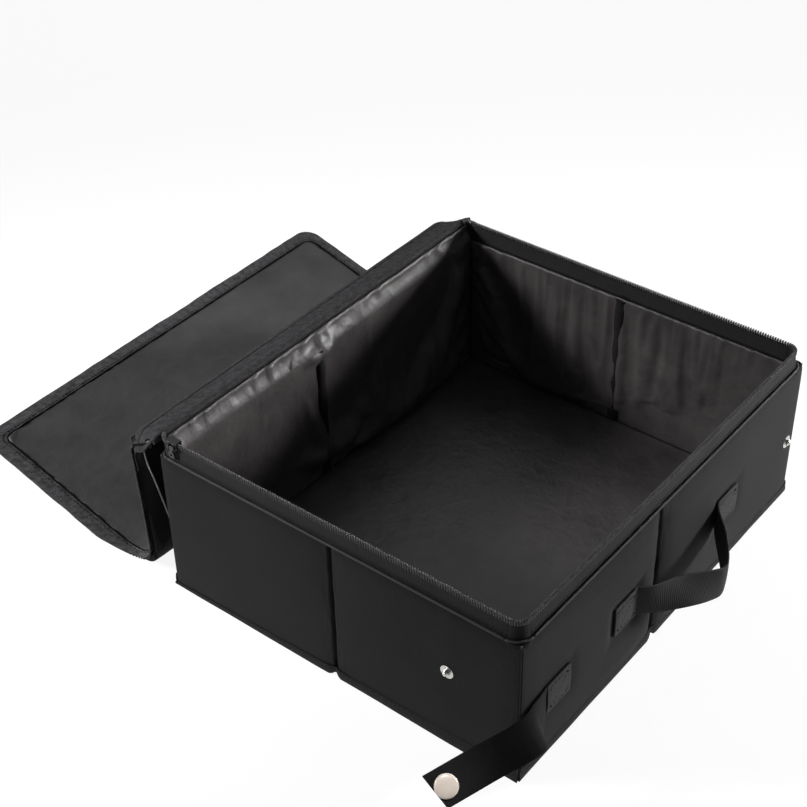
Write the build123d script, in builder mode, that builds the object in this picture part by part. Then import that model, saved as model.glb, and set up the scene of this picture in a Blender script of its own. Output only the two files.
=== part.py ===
from build123d import *
import os
from math import asin, atan2, cos, degrees, hypot, radians, sin

# A folding tub of coated cloth with a zipped lid, drawn open: the lid hangs outside the hinge wall.
# X runs across the tub from the hinge wall to the handle wall, Y along those two walls, Z up.
# The origin is the centre of the floor, on the surface that the tub stands on.

os.makedirs("parts", exist_ok=True)

# Tub
box_width = 300.0
box_length = 355.0
wall_height = 120.0
wall_thick = 6.0
cloth_thick = 1.2
lining_thick = 1.2
cloth_gap = 0.3
foot_clear = 0.5
mitre_gap = 0.25
crease_gap = 0.2
corner_round = 0.8

# Boards sewn into the walls
board_edge = 3.0
long_crease_y = -18.0
long_crease_width = 6.0

# Floor
pad_thick = 3.0

# Binding round the foot
binding_height = 10.0
binding_thick = 1.2
pivot_stand = 0.5

# Zip
tape_height = 12.6
tape_thick = 1.2
tape_lean = 1.1
tape_inset = 2.6
tooth_pitch = 3.6
tooth_width = 1.9
tooth_height = 1.6
chain_thick = 2.4
chain_bead = 1.2
slider_length = 9.0
slider_wall = 1.0
slider_clear = 0.45
slider_tape_clear = 0.5
slider_start = 7.0
ear_out = 1.5
ear_height = 3.6
ear_width = 1.4
pull_pin = 1.0
pull_clear = 0.3
pull_length = 10.0
pull_width = 5.0
pull_thick = 1.0

# Lid, hung from the top of the hinge tape
hinge_tape_lean = 1.5
strip_out = 26.0
strip_drop = 11.0
strip_thick = 1.4
lid_thick = 4.0
lid_board_thick = 2.0
lid_cloth = 0.7
lid_lining_thick = 1.0
lid_inner_length = 117.0
lid_foot_out = 5.5
lid_outer_rise = 16.0
lid_edge_round = 16.0
lid_skirt = 12.0
skirt_thick = 1.0
skirt_gap = 0.3
skirt_start = 6.0
lid_axis_rise = 0.8
fold_start = 0.26
strip_start = 0.3
strip_stop = 1.8
zip_gap = 0.4
lid_margin = 6.0

# Webbing
webbing_width = 25.0
webbing_thick = 1.6
handle_near_y = -46.0
handle_far_y = 62.0
handle_height = 57.0
handle_reach = 32.0
handle_droop = 9.0
handle_clear = 0.3
patch_length = 26.0
patch_gap = 0.2

# Snap strap
strap_from_corner = 27.5
strap_height = 53.0
strap_reach = 95.0
strap_stand = 9.0
strap_turn = 28.0
strap_droop = 20.0
snap_from_tip = 13.0
cap_diameter = 16.0
cap_thick = 1.8
cap_dome = 0.8
socket_diameter = 12.0
socket_thick = 3.0
post_hole = 5.6

# Snap studs
stud_base_diameter = 10.0
stud_base_thick = 0.8
stud_post_diameter = 5.0
stud_post_height = 3.0
front_stud_from_corner = 55.0
front_stud_z = 66.0
side_stud_from_corner = 11.5
side_stud_z = 55.0

# Worked out from the sizes above
half_width = box_width / 2
half_length = box_length / 2
inner_depth = wall_thick + cloth_gap + lining_thick
board_thick = wall_thick - 2 * cloth_thick - 2 * cloth_gap
floor_top = pad_thick + cloth_gap + lining_thick
tape_top = wall_height + tape_height
chain_top = tape_top + chain_bead + tooth_height
long_axis = -half_width - hinge_tape_lean
strap_root_y = -half_length + strap_from_corner
front_stud_x = half_width - front_stud_from_corner
side_stud_y = half_length - side_stud_from_corner


def outline(points, level):
    """One closed plan outline at a height."""
    with BuildSketch(Plane.XY.offset(level)) as plan:
        with BuildLine():
            Polyline(*points, close=True)
        make_face()
    return plan.sketch


def long_plan(side, outer, inner, gap):
    """Plan of a long wall between two depths from its outer face, mitred at both ends."""
    outer_x = side * (half_width - outer)
    inner_x = side * (half_width - inner)
    outer_y = half_length - outer - gap
    inner_y = half_length - inner - gap
    return [(outer_x, -outer_y), (outer_x, outer_y), (inner_x, inner_y), (inner_x, -inner_y)]


def half_plan(side, end, outer, inner, gap, middle):
    """Plan of half a short wall, mitred at the corner and square at the centre crease."""
    outer_y = end * (half_length - outer)
    inner_y = end * (half_length - inner)
    outer_x = side * (half_width - outer - gap)
    inner_x = side * (half_width - inner - gap)
    return [(side * middle, outer_y), (outer_x, outer_y), (inner_x, inner_y), (side * middle, inner_y)]


def save(part, name):
    """Label one finished piece and write its file."""
    part.label = name
    export_step(part, f"parts/{name}.step")


def board_band(side, start, stop):
    """Plan of one board in a long wall."""
    near_x = side * (half_width - cloth_thick - cloth_gap)
    far_x = side * (half_width - cloth_thick - cloth_gap - board_thick)
    return [(near_x, start), (near_x, stop), (far_x, stop), (far_x, start)]


def cell_band(side, start, stop):
    """Plan of the pocket round one board in a long wall."""
    near_x = side * (half_width - cloth_thick)
    far_x = side * (half_width - wall_thick + cloth_thick)
    return [(near_x, start), (near_x, stop), (far_x, stop), (far_x, start)]


def comb(plane, length, direction):
    """One row of zip teeth on its bead, centred on the plane's origin, teeth along direction."""
    count = int((length - tooth_width) / tooth_pitch) + 1
    with BuildSketch(plane) as row:
        with Locations((0, direction * chain_bead / 2)):
            Rectangle(length, chain_bead)
        with Locations((0, direction * (chain_bead + tooth_height / 2))):
            with GridLocations(tooth_pitch, 0, count, 1):
                Rectangle(tooth_width, tooth_height)
    return row.sketch


# Long walls: cover, two boards, lining, binding
long_wall_side_shares = {"hinge_wall": -1, "handle_wall": 1}
board_stop = half_length - wall_thick - board_edge
near_crease = long_crease_y - long_crease_width / 2
far_crease = long_crease_y + long_crease_width / 2
board_spans = [(-board_stop, near_crease), (far_crease, board_stop)]

for wall, side in long_wall_side_shares.items():
    foot = 0 if side < 0 else foot_clear
    board_foot = foot + board_edge
    board_top = wall_height - board_edge
    with BuildPart() as cover:
        extrude(outline(long_plan(side, 0, wall_thick, mitre_gap), foot), amount=wall_height - foot)
        upright = cover.edges().filter_by(Axis.Z).sort_by(Axis.X)
        outer_edges = upright[:2] if side < 0 else upright[-2:]
        fillet(outer_edges, radius=corner_round)
        for start, stop in board_spans:
            cell = outline(cell_band(side, start - cloth_gap, stop + cloth_gap), board_foot - cloth_gap)
            extrude(cell, amount=board_top - board_foot + 2 * cloth_gap, mode=Mode.SUBTRACT)
    save(cover.part, f"{wall}_cover")

    with BuildPart() as boards:
        for start, stop in board_spans:
            extrude(outline(board_band(side, start, stop), board_foot), amount=board_top - board_foot)
    save(boards.part, f"{wall}_boards")

    lining_foot = floor_top + cloth_gap
    with BuildPart() as lining:
        plan = long_plan(side, wall_thick + cloth_gap, inner_depth, mitre_gap)
        extrude(outline(plan, lining_foot), amount=wall_height - lining_foot)
    save(lining.part, f"{wall}_lining")

    with BuildPart() as binding:
        plan = long_plan(side, -binding_thick - patch_gap, -patch_gap, binding_thick + corner_round)
        extrude(outline(plan, foot), amount=binding_height)
    save(binding.part, f"{wall}_binding")

# Short walls: two halves each, folding inward at the centre crease
half_wall_side_shares = {
    "front_left": (-1, -1),
    "front_right": (1, -1),
    "back_left": (-1, 1),
    "back_right": (1, 1),
}
for wall, (side, end) in half_wall_side_shares.items():
    board_foot = foot_clear + board_edge
    board_top = wall_height - board_edge
    with BuildPart() as cover:
        plan = half_plan(side, end, 0, wall_thick, mitre_gap, crease_gap)
        extrude(outline(plan, foot_clear), amount=wall_height - foot_clear)
        corner_edge = cover.edges().filter_by(Axis.Z).sort_by(Axis((0, 0, 0), (side, end, 0)))[-1]
        fillet(corner_edge, radius=corner_round)
        skin = wall_thick - cloth_thick
        cell = half_plan(side, end, cloth_thick, skin, wall_thick, crease_gap + board_edge - cloth_gap)
        cell_height = board_top - board_foot + 2 * cloth_gap
        extrude(outline(cell, board_foot - cloth_gap), amount=cell_height, mode=Mode.SUBTRACT)
    save(cover.part, f"{wall}_cover")

    with BuildPart() as board:
        outer = cloth_thick + cloth_gap
        plan = half_plan(side, end, outer, outer + board_thick, wall_thick, crease_gap + board_edge)
        extrude(outline(plan, board_foot), amount=board_top - board_foot)
    save(board.part, f"{wall}_board")

    lining_foot = floor_top + cloth_gap
    with BuildPart() as lining:
        plan = half_plan(side, end, wall_thick + cloth_gap, inner_depth, mitre_gap, crease_gap)
        extrude(outline(plan, lining_foot), amount=wall_height - lining_foot)
    save(lining.part, f"{wall}_lining")

    with BuildPart() as binding:
        plan = half_plan(side, end, -binding_thick - patch_gap, -patch_gap, binding_thick, crease_gap)
        extrude(outline(plan, foot_clear), amount=binding_height)
    save(binding.part, f"{wall}_binding")

    # The tape stands on the wall and leans a little inward, with the teeth on its top edge.
    with BuildPart() as tape:
        foot_y = end * (half_length - tape_inset)
        top_y = end * (half_length - tape_inset - tape_lean)
        half_tape = tape_thick / 2
        with BuildSketch(Plane.YZ.offset(side * crease_gap)):
            with BuildLine():
                Polyline(
                    (foot_y - half_tape, wall_height),
                    (foot_y + half_tape, wall_height),
                    (top_y + half_tape, tape_top),
                    (top_y - half_tape, tape_top),
                    close=True,
                )
            make_face()
        extrude(amount=side * (half_width - wall_thick - crease_gap))
    save(tape.part, f"{wall}_rim_tape")

    with BuildPart() as teeth:
        run = half_width - wall_thick - crease_gap
        middle = side * (crease_gap + run / 2)
        face_y = top_y + chain_thick / 2
        row_plane = Plane(origin=(middle, face_y, tape_top), x_dir=(1, 0, 0), z_dir=(0, -1, 0))
        extrude(comb(row_plane, run, 1), amount=chain_thick)
    save(teeth.part, f"{wall}_zip_teeth")

# Handle wall's tape and teeth
with BuildPart() as handle_wall_rim_tape:
    foot_x = half_width - tape_inset
    top_x = foot_x - tape_lean
    half_tape = tape_thick / 2
    run = box_length - 2 * (tape_inset + tape_lean + chain_thick)
    with BuildSketch(Plane.XZ.offset(-run / 2)):
        with BuildLine():
            Polyline(
                (foot_x - half_tape, wall_height),
                (foot_x + half_tape, wall_height),
                (top_x + half_tape, tape_top),
                (top_x - half_tape, tape_top),
                close=True,
            )
        make_face()
    extrude(amount=run)
save(handle_wall_rim_tape.part, "handle_wall_rim_tape")

with BuildPart() as handle_wall_zip_teeth:
    row_plane = Plane(origin=(top_x - chain_thick / 2, 0, tape_top), x_dir=(0, 1, 0), z_dir=(1, 0, 0))
    extrude(comb(row_plane, run, 1), amount=chain_thick)
save(handle_wall_zip_teeth.part, "handle_wall_zip_teeth")

# Hinge wall's tape, which carries the lid
with BuildPart() as hinge_wall_tape:
    foot_x = -half_width + tape_thick
    head_x = long_axis + tape_thick
    with BuildSketch(Plane.XZ.offset(-half_length + wall_thick)):
        with BuildLine():
            Polyline(
                (foot_x - half_tape, wall_height),
                (foot_x + half_tape, wall_height),
                (head_x + half_tape, tape_top),
                (head_x - half_tape, tape_top),
                close=True,
            )
        make_face()
    extrude(amount=box_length - 2 * wall_thick)
save(hinge_wall_tape.part, "hinge_wall_tape")

# Floor
with BuildPart() as floor_pad:
    with BuildSketch():
        pad_width = box_width - 2 * inner_depth - 2 * cloth_gap
        pad_length = box_length - 2 * inner_depth - 2 * cloth_gap
        Rectangle(pad_width, pad_length)
    extrude(amount=pad_thick)
save(floor_pad.part, "floor_pad")

with BuildPart() as floor_lining:
    with BuildSketch(Plane.XY.offset(pad_thick + cloth_gap)):
        Rectangle(pad_width, pad_length)
    extrude(amount=lining_thick)
save(floor_lining.part, "floor_lining")

# Zip slider, round the teeth of the front wall's left half, with two ears that hold the pull's pin
slider_x = -(half_width - wall_thick - slider_start)
chain_y = -(half_length - tape_inset - tape_lean)
channel_half = chain_thick / 2 + slider_clear
slider_half = channel_half + slider_wall
channel_foot = tape_top - slider_clear
channel_head = chain_top + slider_clear
slider_top = channel_head + slider_wall
slider_foot = channel_foot - slider_wall
slider_face = chain_y - slider_half
pin_y = slider_face - ear_out / 2
pin_z = slider_foot + ear_height / 2
ear_offset = ear_width / 2 + pull_clear + pull_width / 4
with BuildPart() as zip_slider:
    with BuildSketch(Plane.YZ.offset(slider_x - slider_length / 2)):
        with Locations((chain_y, (slider_foot + slider_top) / 2)):
            Rectangle(2 * slider_half, slider_top - slider_foot)
        with Locations((chain_y, (channel_foot + channel_head) / 2)):
            Rectangle(2 * channel_half, channel_head - channel_foot, mode=Mode.SUBTRACT)
        with Locations((chain_y, slider_foot + slider_wall / 2)):
            Rectangle(tape_thick + 2 * slider_tape_clear, slider_wall, mode=Mode.SUBTRACT)
    extrude(amount=slider_length)
    for ear in (-1, 1):
        ear_foot = slider_x + ear * ear_offset - ear_width / 2
        with BuildSketch(Plane.YZ.offset(ear_foot)):
            with Locations((pin_y, pin_z)):
                Rectangle(ear_out, ear_height)
                Circle(pull_pin / 2 + pull_clear / 2, mode=Mode.SUBTRACT)
        extrude(amount=ear_width)
save(zip_slider.part, "zip_slider")

with BuildPart() as slider_pull:
    with BuildSketch(Plane.YZ.offset(slider_x - pull_width / 2)):
        with Locations((pin_y, pin_z)):
            Circle(pull_pin / 2)
    extrude(amount=pull_width)
    with BuildSketch(Plane.YZ.offset(slider_x - pull_width / 4)):
        with Locations((pin_y, pin_z - pull_length / 4)):
            Rectangle(pull_thick, pull_length / 2)
    extrude(amount=pull_width / 2)
    with BuildSketch(Plane.XZ.offset(-pin_y - pull_thick / 2)):
        with Locations((slider_x, pin_z - pull_length * 3 / 4 + pull_pin)):
            RectangleRounded(pull_width, pull_length / 2, pull_width / 4)
            Circle(pull_width / 5, mode=Mode.SUBTRACT)
    extrude(amount=pull_thick)
save(slider_pull.part, "slider_pull")

# Lid: a soft strip and two boards, hung from the head of the hinge wall's tape.
# Each panel is drawn in its own plane, along X of that plane, with the lining's face at zero.
lid_axis_z = tape_top + lid_axis_rise
strip_length = hypot(strip_out, strip_drop)
board_axis_x = long_axis - strip_out
board_axis_z = lid_axis_z - strip_drop
lid_inner_drop = (lid_inner_length**2 - lid_foot_out**2) ** 0.5
crease_x = board_axis_x + lid_foot_out
crease_z = board_axis_z - lid_inner_drop
tooth_row = chain_bead + tooth_height
lid_face_z = chain_top + zip_gap + tooth_row + lid_skirt
strip_closed = asin((lid_face_z - lid_axis_z) / strip_length)
lid_outer_length = half_width - long_axis - strip_length * cos(strip_closed) - lid_inner_length
lid_depth = lid_thick + cloth_gap + lid_lining_thick
panel_half = half_length - skirt_gap
skirt_line = half_length + skirt_thick / 2
strip_angle = degrees(atan2(-strip_drop, -strip_out))
inner_angle = degrees(atan2(-lid_inner_drop, lid_foot_out))
outer_angle = 180 - lid_outer_rise


def panel_plane(x, z, angle):
    """Plane of a lid panel: X away from its hinge, Z out of its lining."""
    turn = radians(angle)
    return Plane(origin=(x, 0, z), x_dir=(cos(turn), 0, sin(turn)), z_dir=(sin(turn), 0, -cos(turn)))


strip_plane = panel_plane(long_axis, lid_axis_z, strip_angle)
inner_plane = panel_plane(board_axis_x, board_axis_z, inner_angle)
outer_plane = panel_plane(crease_x, crease_z, outer_angle)


def panel(plane, start, stop, half, edge_round):
    """One lid panel's outline, with its two far corners rounded where edge_round isn't zero."""
    with BuildSketch(plane) as sheet:
        with Locations(((start + stop) / 2, 0)):
            Rectangle(stop - start, 2 * half)
        if edge_round > 0:
            fillet(sheet.vertices().group_by(SortBy.DISTANCE)[-1], radius=edge_round)
    return sheet.sketch


with BuildPart() as lid_hinge_strip:
    face = panel(strip_plane, strip_start, strip_length - strip_stop, half_length - cloth_gap, 0)
    extrude(face, amount=strip_thick / 2, both=True)
save(lid_hinge_strip.part, "lid_hinge_strip")

lid_halves = {
    "lid_inner": (inner_plane, lid_inner_length - fold_start, 0),
    "lid_outer": (outer_plane, lid_outer_length - skirt_thick - skirt_gap, lid_edge_round),
}
for half, (plane, stop, edge_round) in lid_halves.items():
    cover_plane = plane.offset(-lid_lining_thick - cloth_gap)
    with BuildPart() as cover:
        extrude(panel(cover_plane, fold_start, stop, panel_half, edge_round), amount=-lid_thick)
        cell_start = fold_start + lid_margin - cloth_gap
        cell_half = panel_half - lid_margin + cloth_gap
        cell_round = edge_round - lid_margin + cloth_gap if edge_round else 0
        cell_stop = stop - lid_margin + cloth_gap
        cell = panel(cover_plane.offset(-lid_cloth), cell_start, cell_stop, cell_half, cell_round)
        extrude(cell, amount=-(lid_thick - 2 * lid_cloth), mode=Mode.SUBTRACT)
    save(cover.part, f"{half}_cover")

    with BuildPart() as board:
        board_plane = cover_plane.offset(-(lid_thick - lid_board_thick) / 2)
        board_round = edge_round - lid_margin if edge_round else 0
        board_start = fold_start + lid_margin
        plate = panel(board_plane, board_start, stop - lid_margin, panel_half - lid_margin, board_round)
        extrude(plate, amount=-lid_board_thick)
    save(board.part, f"{half}_board")

    with BuildPart() as lining:
        extrude(panel(plane, fold_start, stop, panel_half, edge_round), amount=-lid_lining_thick)
    save(lining.part, f"{half}_lining")

# The outer half's border of zip tape stands round three sides, with its teeth on the free edge.
with BuildPart() as lid_zip_tape:
    outer_edge = panel(outer_plane, skirt_start, lid_outer_length, half_length + skirt_thick, lid_edge_round)
    extrude(outer_edge, amount=lid_skirt)
    extrude(outer_edge, amount=-lid_depth)
    inner_stop = lid_outer_length - skirt_thick
    inner_start = skirt_start - lid_edge_round
    hollow = panel(outer_plane, inner_start, inner_stop, half_length, lid_edge_round - skirt_thick)
    extrude(hollow, amount=lid_skirt, mode=Mode.SUBTRACT)
    extrude(hollow, amount=-lid_depth, mode=Mode.SUBTRACT)
save(lid_zip_tape.part, "lid_zip_tape")

with BuildPart() as lid_zip_teeth:
    side_run = lid_outer_length - lid_edge_round - skirt_start
    side_middle = skirt_start + side_run / 2
    along = outer_plane.x_dir
    out = outer_plane.z_dir
    for end in (-1, 1):
        start = outer_plane.origin + along * side_middle + out * lid_skirt
        start = start + Vector(0, end * skirt_line - chain_thick / 2, 0)
        extrude(comb(Plane(origin=start, x_dir=along, z_dir=(0, 1, 0)), side_run, 1), amount=chain_thick)
    end_run = box_length - 2 * lid_edge_round
    end_line = lid_outer_length - skirt_thick / 2 - chain_thick / 2
    start = outer_plane.origin + along * end_line + out * lid_skirt
    extrude(comb(Plane(origin=start, x_dir=(0, -1, 0), z_dir=along), end_run, 1), amount=chain_thick)
save(lid_zip_teeth.part, "lid_zip_teeth")

# The inner half's zip tape turns over on each side: beside the wall when the lid hangs open,
# and down towards the rim when it is shut. It turns about the middle of the panel's edge.
flap_reach = lid_skirt + lid_depth / 2
flap_start = skirt_start
flap_stop = lid_inner_length - skirt_start
for end, side_name in ((-1, "front"), (1, "back")):
    with BuildPart() as flap:
        along = inner_plane.x_dir
        out = inner_plane.z_dir
        tape_foot = -lid_depth / 2
        middle = inner_plane.origin + along * (flap_start + flap_stop) / 2
        edge = middle + out * (tape_foot - flap_reach)
        tape_middle = middle + out * (tape_foot - flap_reach / 2)
        tape_y = end * skirt_line - skirt_thick / 2
        with BuildSketch(Plane(tape_middle + Vector(0, tape_y, 0), x_dir=along, z_dir=(0, 1, 0))):
            Rectangle(flap_stop - flap_start, flap_reach)
        extrude(amount=skirt_thick)
        row_y = end * skirt_line - chain_thick / 2
        row_plane = Plane(origin=edge + Vector(0, row_y, 0), x_dir=along, z_dir=(0, 1, 0))
        extrude(comb(row_plane, flap_stop - flap_start, -1), amount=chain_thick)
    save(flap.part, f"lid_flap_{side_name}_tape")

# Webbing: a ribbon through stations, each a place and the direction of its width
def ribbon(stations, start_way, stop_way):
    """Loft a strip of webbing through (point, width direction) stations."""
    ways = [after[0] - before[0] for before, after in zip(stations[:-2], stations[2:])]
    ways = [start_way, *ways, stop_way]
    with BuildPart() as strip:
        for (point, wide), way in zip(stations, ways):
            with BuildSketch(Plane(origin=point, x_dir=wide, z_dir=way)):
                Rectangle(webbing_width, webbing_thick)
        loft(ruled=True)
    return strip.part


wall_face = half_width + patch_gap + webbing_thick / 2

# Shares of the handle's span along, its reach outward and its droop, then its width's lean outward
handle_shares = [
    (0.0, 0.0, 0.0, 0.0),
    (0.095, 0.26, 0.1, 0.0),
    (0.305, 0.63, 0.45, -0.35),
    (0.47, 0.9, 0.85, -0.15),
    (0.565, 1.0, 1.0, 0.0),
    (0.655, 0.9, 0.9, 0.05),
    (0.815, 0.5, 0.45, 0.1),
    (0.93, 0.15, 0.1, 0.0),
    (1.0, 0.0, 0.0, 0.0),
]
handle_start = handle_near_y + handle_clear
handle_span = handle_far_y - handle_clear - handle_start
handle_stations = []
for along, outward, droop, lean in handle_shares:
    place_x = wall_face + outward * handle_reach
    place = Vector(place_x, handle_start + along * handle_span, handle_height - droop * handle_droop)
    handle_stations.append((place, Vector(lean, 0, 1)))
along_wall = Vector(0, 1, 0)
save(ribbon(handle_stations, along_wall, along_wall), "handle_webbing")

# Shares of the strap's reach along, its stand off the wall, its turn towards the front wall
# and its droop, then its width's lean
strap_shares = [
    (0.0, 0.0, 0.0, 0.0, 0.0),
    (0.15, 0.45, 0.0, 0.0, -0.25),
    (0.32, 1.0, 0.0, 0.08, -1.15),
    (1.0, 1.0, 1.0, 1.0, -1.25),
]
strap_start = strap_root_y - handle_clear
strap_stations = []
for along, stand, turn, droop, lean in strap_shares:
    place_x = wall_face + stand * strap_stand - turn * strap_turn
    place = Vector(place_x, strap_start - along * strap_reach, strap_height - droop * strap_droop)
    strap_stations.append((place, Vector(lean, 0, 1)))
tip, tip_wide = strap_stations[-1]
bend = strap_stations[-2][0]
tip_way = (tip - bend).normalized()
face_way = tip_way.cross(tip_wide).normalized()
snap_centre = tip - tip_way * snap_from_tip
cap_plane = Plane(origin=snap_centre, x_dir=tip_way, z_dir=face_way)
strap_free = ribbon(strap_stations, -along_wall, tip_way)
with BuildPart() as strap_webbing:
    add(strap_free)
    with BuildSketch(cap_plane):
        Circle(post_hole / 2)
    extrude(amount=webbing_thick, both=True, mode=Mode.SUBTRACT)
save(strap_webbing.part, "strap_webbing")

cap_seat = cap_plane.offset(webbing_thick / 2)
post_length = webbing_thick + socket_thick / 2
rim = cap_diameter / 2
dome_radius = (rim**2 + cap_dome**2) / (2 * cap_dome)
dome_fall = dome_radius - (dome_radius**2 - (rim / 2) ** 2) ** 0.5
with BuildPart() as snap_cap:
    with BuildSketch(Plane(origin=cap_seat.origin, x_dir=cap_seat.x_dir, z_dir=-cap_seat.y_dir)):
        with BuildLine():
            Line((0, -post_length), (stud_post_diameter / 2, -post_length))
            Line((stud_post_diameter / 2, -post_length), (stud_post_diameter / 2, 0))
            Line((stud_post_diameter / 2, 0), (rim, 0))
            Line((rim, 0), (rim, cap_thick - cap_dome))
            ThreePointArc((rim, cap_thick - cap_dome), (rim / 2, cap_thick - dome_fall), (0, cap_thick))
            Line((0, cap_thick), (0, -post_length))
        make_face()
    revolve(axis=Axis(cap_seat.origin, cap_seat.z_dir))
save(snap_cap.part, "snap_cap")

with BuildPart() as snap_socket:
    socket_plane = cap_plane.offset(-webbing_thick / 2)
    with BuildSketch(socket_plane):
        Circle(socket_diameter / 2)
        Circle(post_hole / 2, mode=Mode.SUBTRACT)
    extrude(amount=-socket_thick)
    far_edges = snap_socket.edges().filter_by(GeomType.CIRCLE).group_by(SortBy.RADIUS)[-1]
    fillet(far_edges.sort_by(Axis(cap_plane.origin, cap_plane.z_dir))[0], radius=socket_thick / 3)
save(snap_socket.part, "snap_socket")


def sewn_patch(start, stop, height):
    """A box-stitched end of webbing, flat on the handle wall."""
    with BuildPart() as patch:
        with BuildSketch(Plane.YZ.offset(half_width + patch_gap)):
            with Locations(((start + stop) / 2, height)):
                Rectangle(stop - start, webbing_width)
        extrude(amount=webbing_thick)
    return patch.part


save(sewn_patch(handle_near_y - patch_length, handle_near_y, handle_height), "handle_anchor_near")
save(sewn_patch(handle_far_y, handle_far_y + patch_length, handle_height), "handle_anchor_far")
save(sewn_patch(strap_root_y, strap_root_y + patch_length, strap_height), "strap_anchor")


def stud(plane):
    """A snap stud: a flat base and a post with a rounded head, turned about the plane's Z."""
    base = stud_base_diameter / 2
    post = stud_post_diameter / 2
    top = stud_base_thick + stud_post_height
    with BuildPart() as snap_stud:
        with BuildSketch(Plane(origin=plane.origin, x_dir=plane.x_dir, z_dir=-plane.y_dir)):
            with BuildLine():
                Line((0, 0), (base, 0))
                Line((base, 0), (base, stud_base_thick))
                Line((base, stud_base_thick), (post, stud_base_thick))
                Line((post, stud_base_thick), (post, top - post / 2))
                Line((post, top - post / 2), (post / 2, top))
                Line((post / 2, top), (0, top))
                Line((0, top), (0, 0))
            make_face()
        revolve(axis=Axis(plane.origin, plane.z_dir))
    return snap_stud.part


front_seat = Plane(origin=(front_stud_x, -half_length, front_stud_z), x_dir=(1, 0, 0), z_dir=(0, -1, 0))
side_seat = Plane(origin=(half_width, side_stud_y, side_stud_z), x_dir=(0, 1, 0), z_dir=(1, 0, 0))
save(stud(front_seat), "front_stud")
save(stud(side_seat), "side_stud")

print("lid outer length", round(lid_outer_length, 2), "closed face", round(lid_face_z, 2))
print("strip axis", round(long_axis, 2), round(lid_axis_z, 2), "opens", round(180 + strip_angle + 180, 2))
print("strip closed angle", round(degrees(strip_closed), 2), "board axis", board_axis_x, board_axis_z)
print("inner angle", round(inner_angle, 2), "crease", round(crease_x, 2), round(crease_z, 2))
print("corner axis", half_width - inner_depth, half_length - inner_depth)
print("crease axis", half_length + binding_thick + patch_gap + pivot_stand)
print("slider", slider_x, chain_y, "pin", pin_y, pin_z)
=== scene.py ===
# %% [markdown]
# A foldable litter box is a cloth tub: stiff boards sewn between an outer cloth and a wipeable
# lining, with a zip round its rim and a lid that hangs open over one wall.
# The boards, joints and sizes come packed from the CAD model as a fixed frame.
# Everything that can be seen is modelled here around that frame, in metres, at its real place.

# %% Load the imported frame
import math

import bmesh
import bpy
from mathutils import Matrix, Vector, noise


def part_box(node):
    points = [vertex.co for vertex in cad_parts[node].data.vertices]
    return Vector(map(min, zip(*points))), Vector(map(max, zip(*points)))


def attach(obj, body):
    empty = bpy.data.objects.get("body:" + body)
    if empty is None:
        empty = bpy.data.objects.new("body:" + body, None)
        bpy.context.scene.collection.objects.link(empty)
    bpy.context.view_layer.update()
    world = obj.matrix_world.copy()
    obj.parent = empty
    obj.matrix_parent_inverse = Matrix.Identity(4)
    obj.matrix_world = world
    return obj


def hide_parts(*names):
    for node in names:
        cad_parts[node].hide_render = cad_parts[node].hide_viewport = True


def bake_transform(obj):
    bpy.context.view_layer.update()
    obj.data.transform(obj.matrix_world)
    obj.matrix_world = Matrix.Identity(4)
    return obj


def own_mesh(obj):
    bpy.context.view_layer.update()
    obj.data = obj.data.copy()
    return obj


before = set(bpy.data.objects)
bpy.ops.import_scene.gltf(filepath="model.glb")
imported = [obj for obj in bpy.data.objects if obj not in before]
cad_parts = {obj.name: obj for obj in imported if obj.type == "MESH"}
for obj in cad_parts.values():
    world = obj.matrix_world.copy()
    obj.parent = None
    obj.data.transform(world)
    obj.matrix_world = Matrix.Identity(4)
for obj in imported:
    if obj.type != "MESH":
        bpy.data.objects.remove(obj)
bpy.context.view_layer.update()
mm = 0.001

# %% [markdown]
# The tub is a box, so a handful of planes place everything on it.
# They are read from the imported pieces, apart from the crease of the two side walls, which no joint
# follows. No size of the tub is typed twice.
# The front wall faces -Y, the wall with the lid faces -X and the wall with the handle faces +X.

# %% The tub's planes
hinge_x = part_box("hinge_wall_cover")[0].x
handle_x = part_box("handle_wall_cover")[1].x
front_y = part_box("front_left_cover")[0].y
back_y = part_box("back_left_cover")[1].y
foot_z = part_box("front_left_cover")[0].z
rim_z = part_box("front_left_cover")[1].z
tape_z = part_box("front_left_rim_tape")[1].z
teeth_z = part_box("front_left_zip_teeth")[1].z
wall_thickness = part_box("front_left_cover")[1].y - front_y
lining_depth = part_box("front_left_lining")[1].y - front_y
corner_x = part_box("handle_wall_lining")[0].x
corner_y = -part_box("front_left_lining")[1].y
front_crease_x = (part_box("front_left_cover")[1].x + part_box("front_right_cover")[0].x) / 2
side_crease_y = -18 * mm
print("tub", round(handle_x - hinge_x, 3), "by", round(back_y - front_y, 3), "by", round(tape_z, 3))

walls = {
    "front": (Vector((0, front_y, 0)), Vector((1, 0, 0)), Vector((0, -1, 0))),
    "back": (Vector((0, back_y, 0)), Vector((1, 0, 0)), Vector((0, 1, 0))),
    "hinge": (Vector((hinge_x, 0, 0)), Vector((0, 1, 0)), Vector((-1, 0, 0))),
    "handle": (Vector((handle_x, 0, 0)), Vector((0, 1, 0)), Vector((1, 0, 0))),
}


def on_wall(side, along, out, up):
    """A point beside a wall: how far along it, how far out of its outer face, and how high."""
    foot, run, outward = walls[side]
    return foot + run * along + outward * out + Vector((0, 0, up))


# %% [markdown]
# A product photograph is taken with a long lens from above a corner.
# The camera is a plain object with a matrix: its first column points to the right of the picture,
# its second to the top and its third back at the photographer, so three directions place it.

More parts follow.
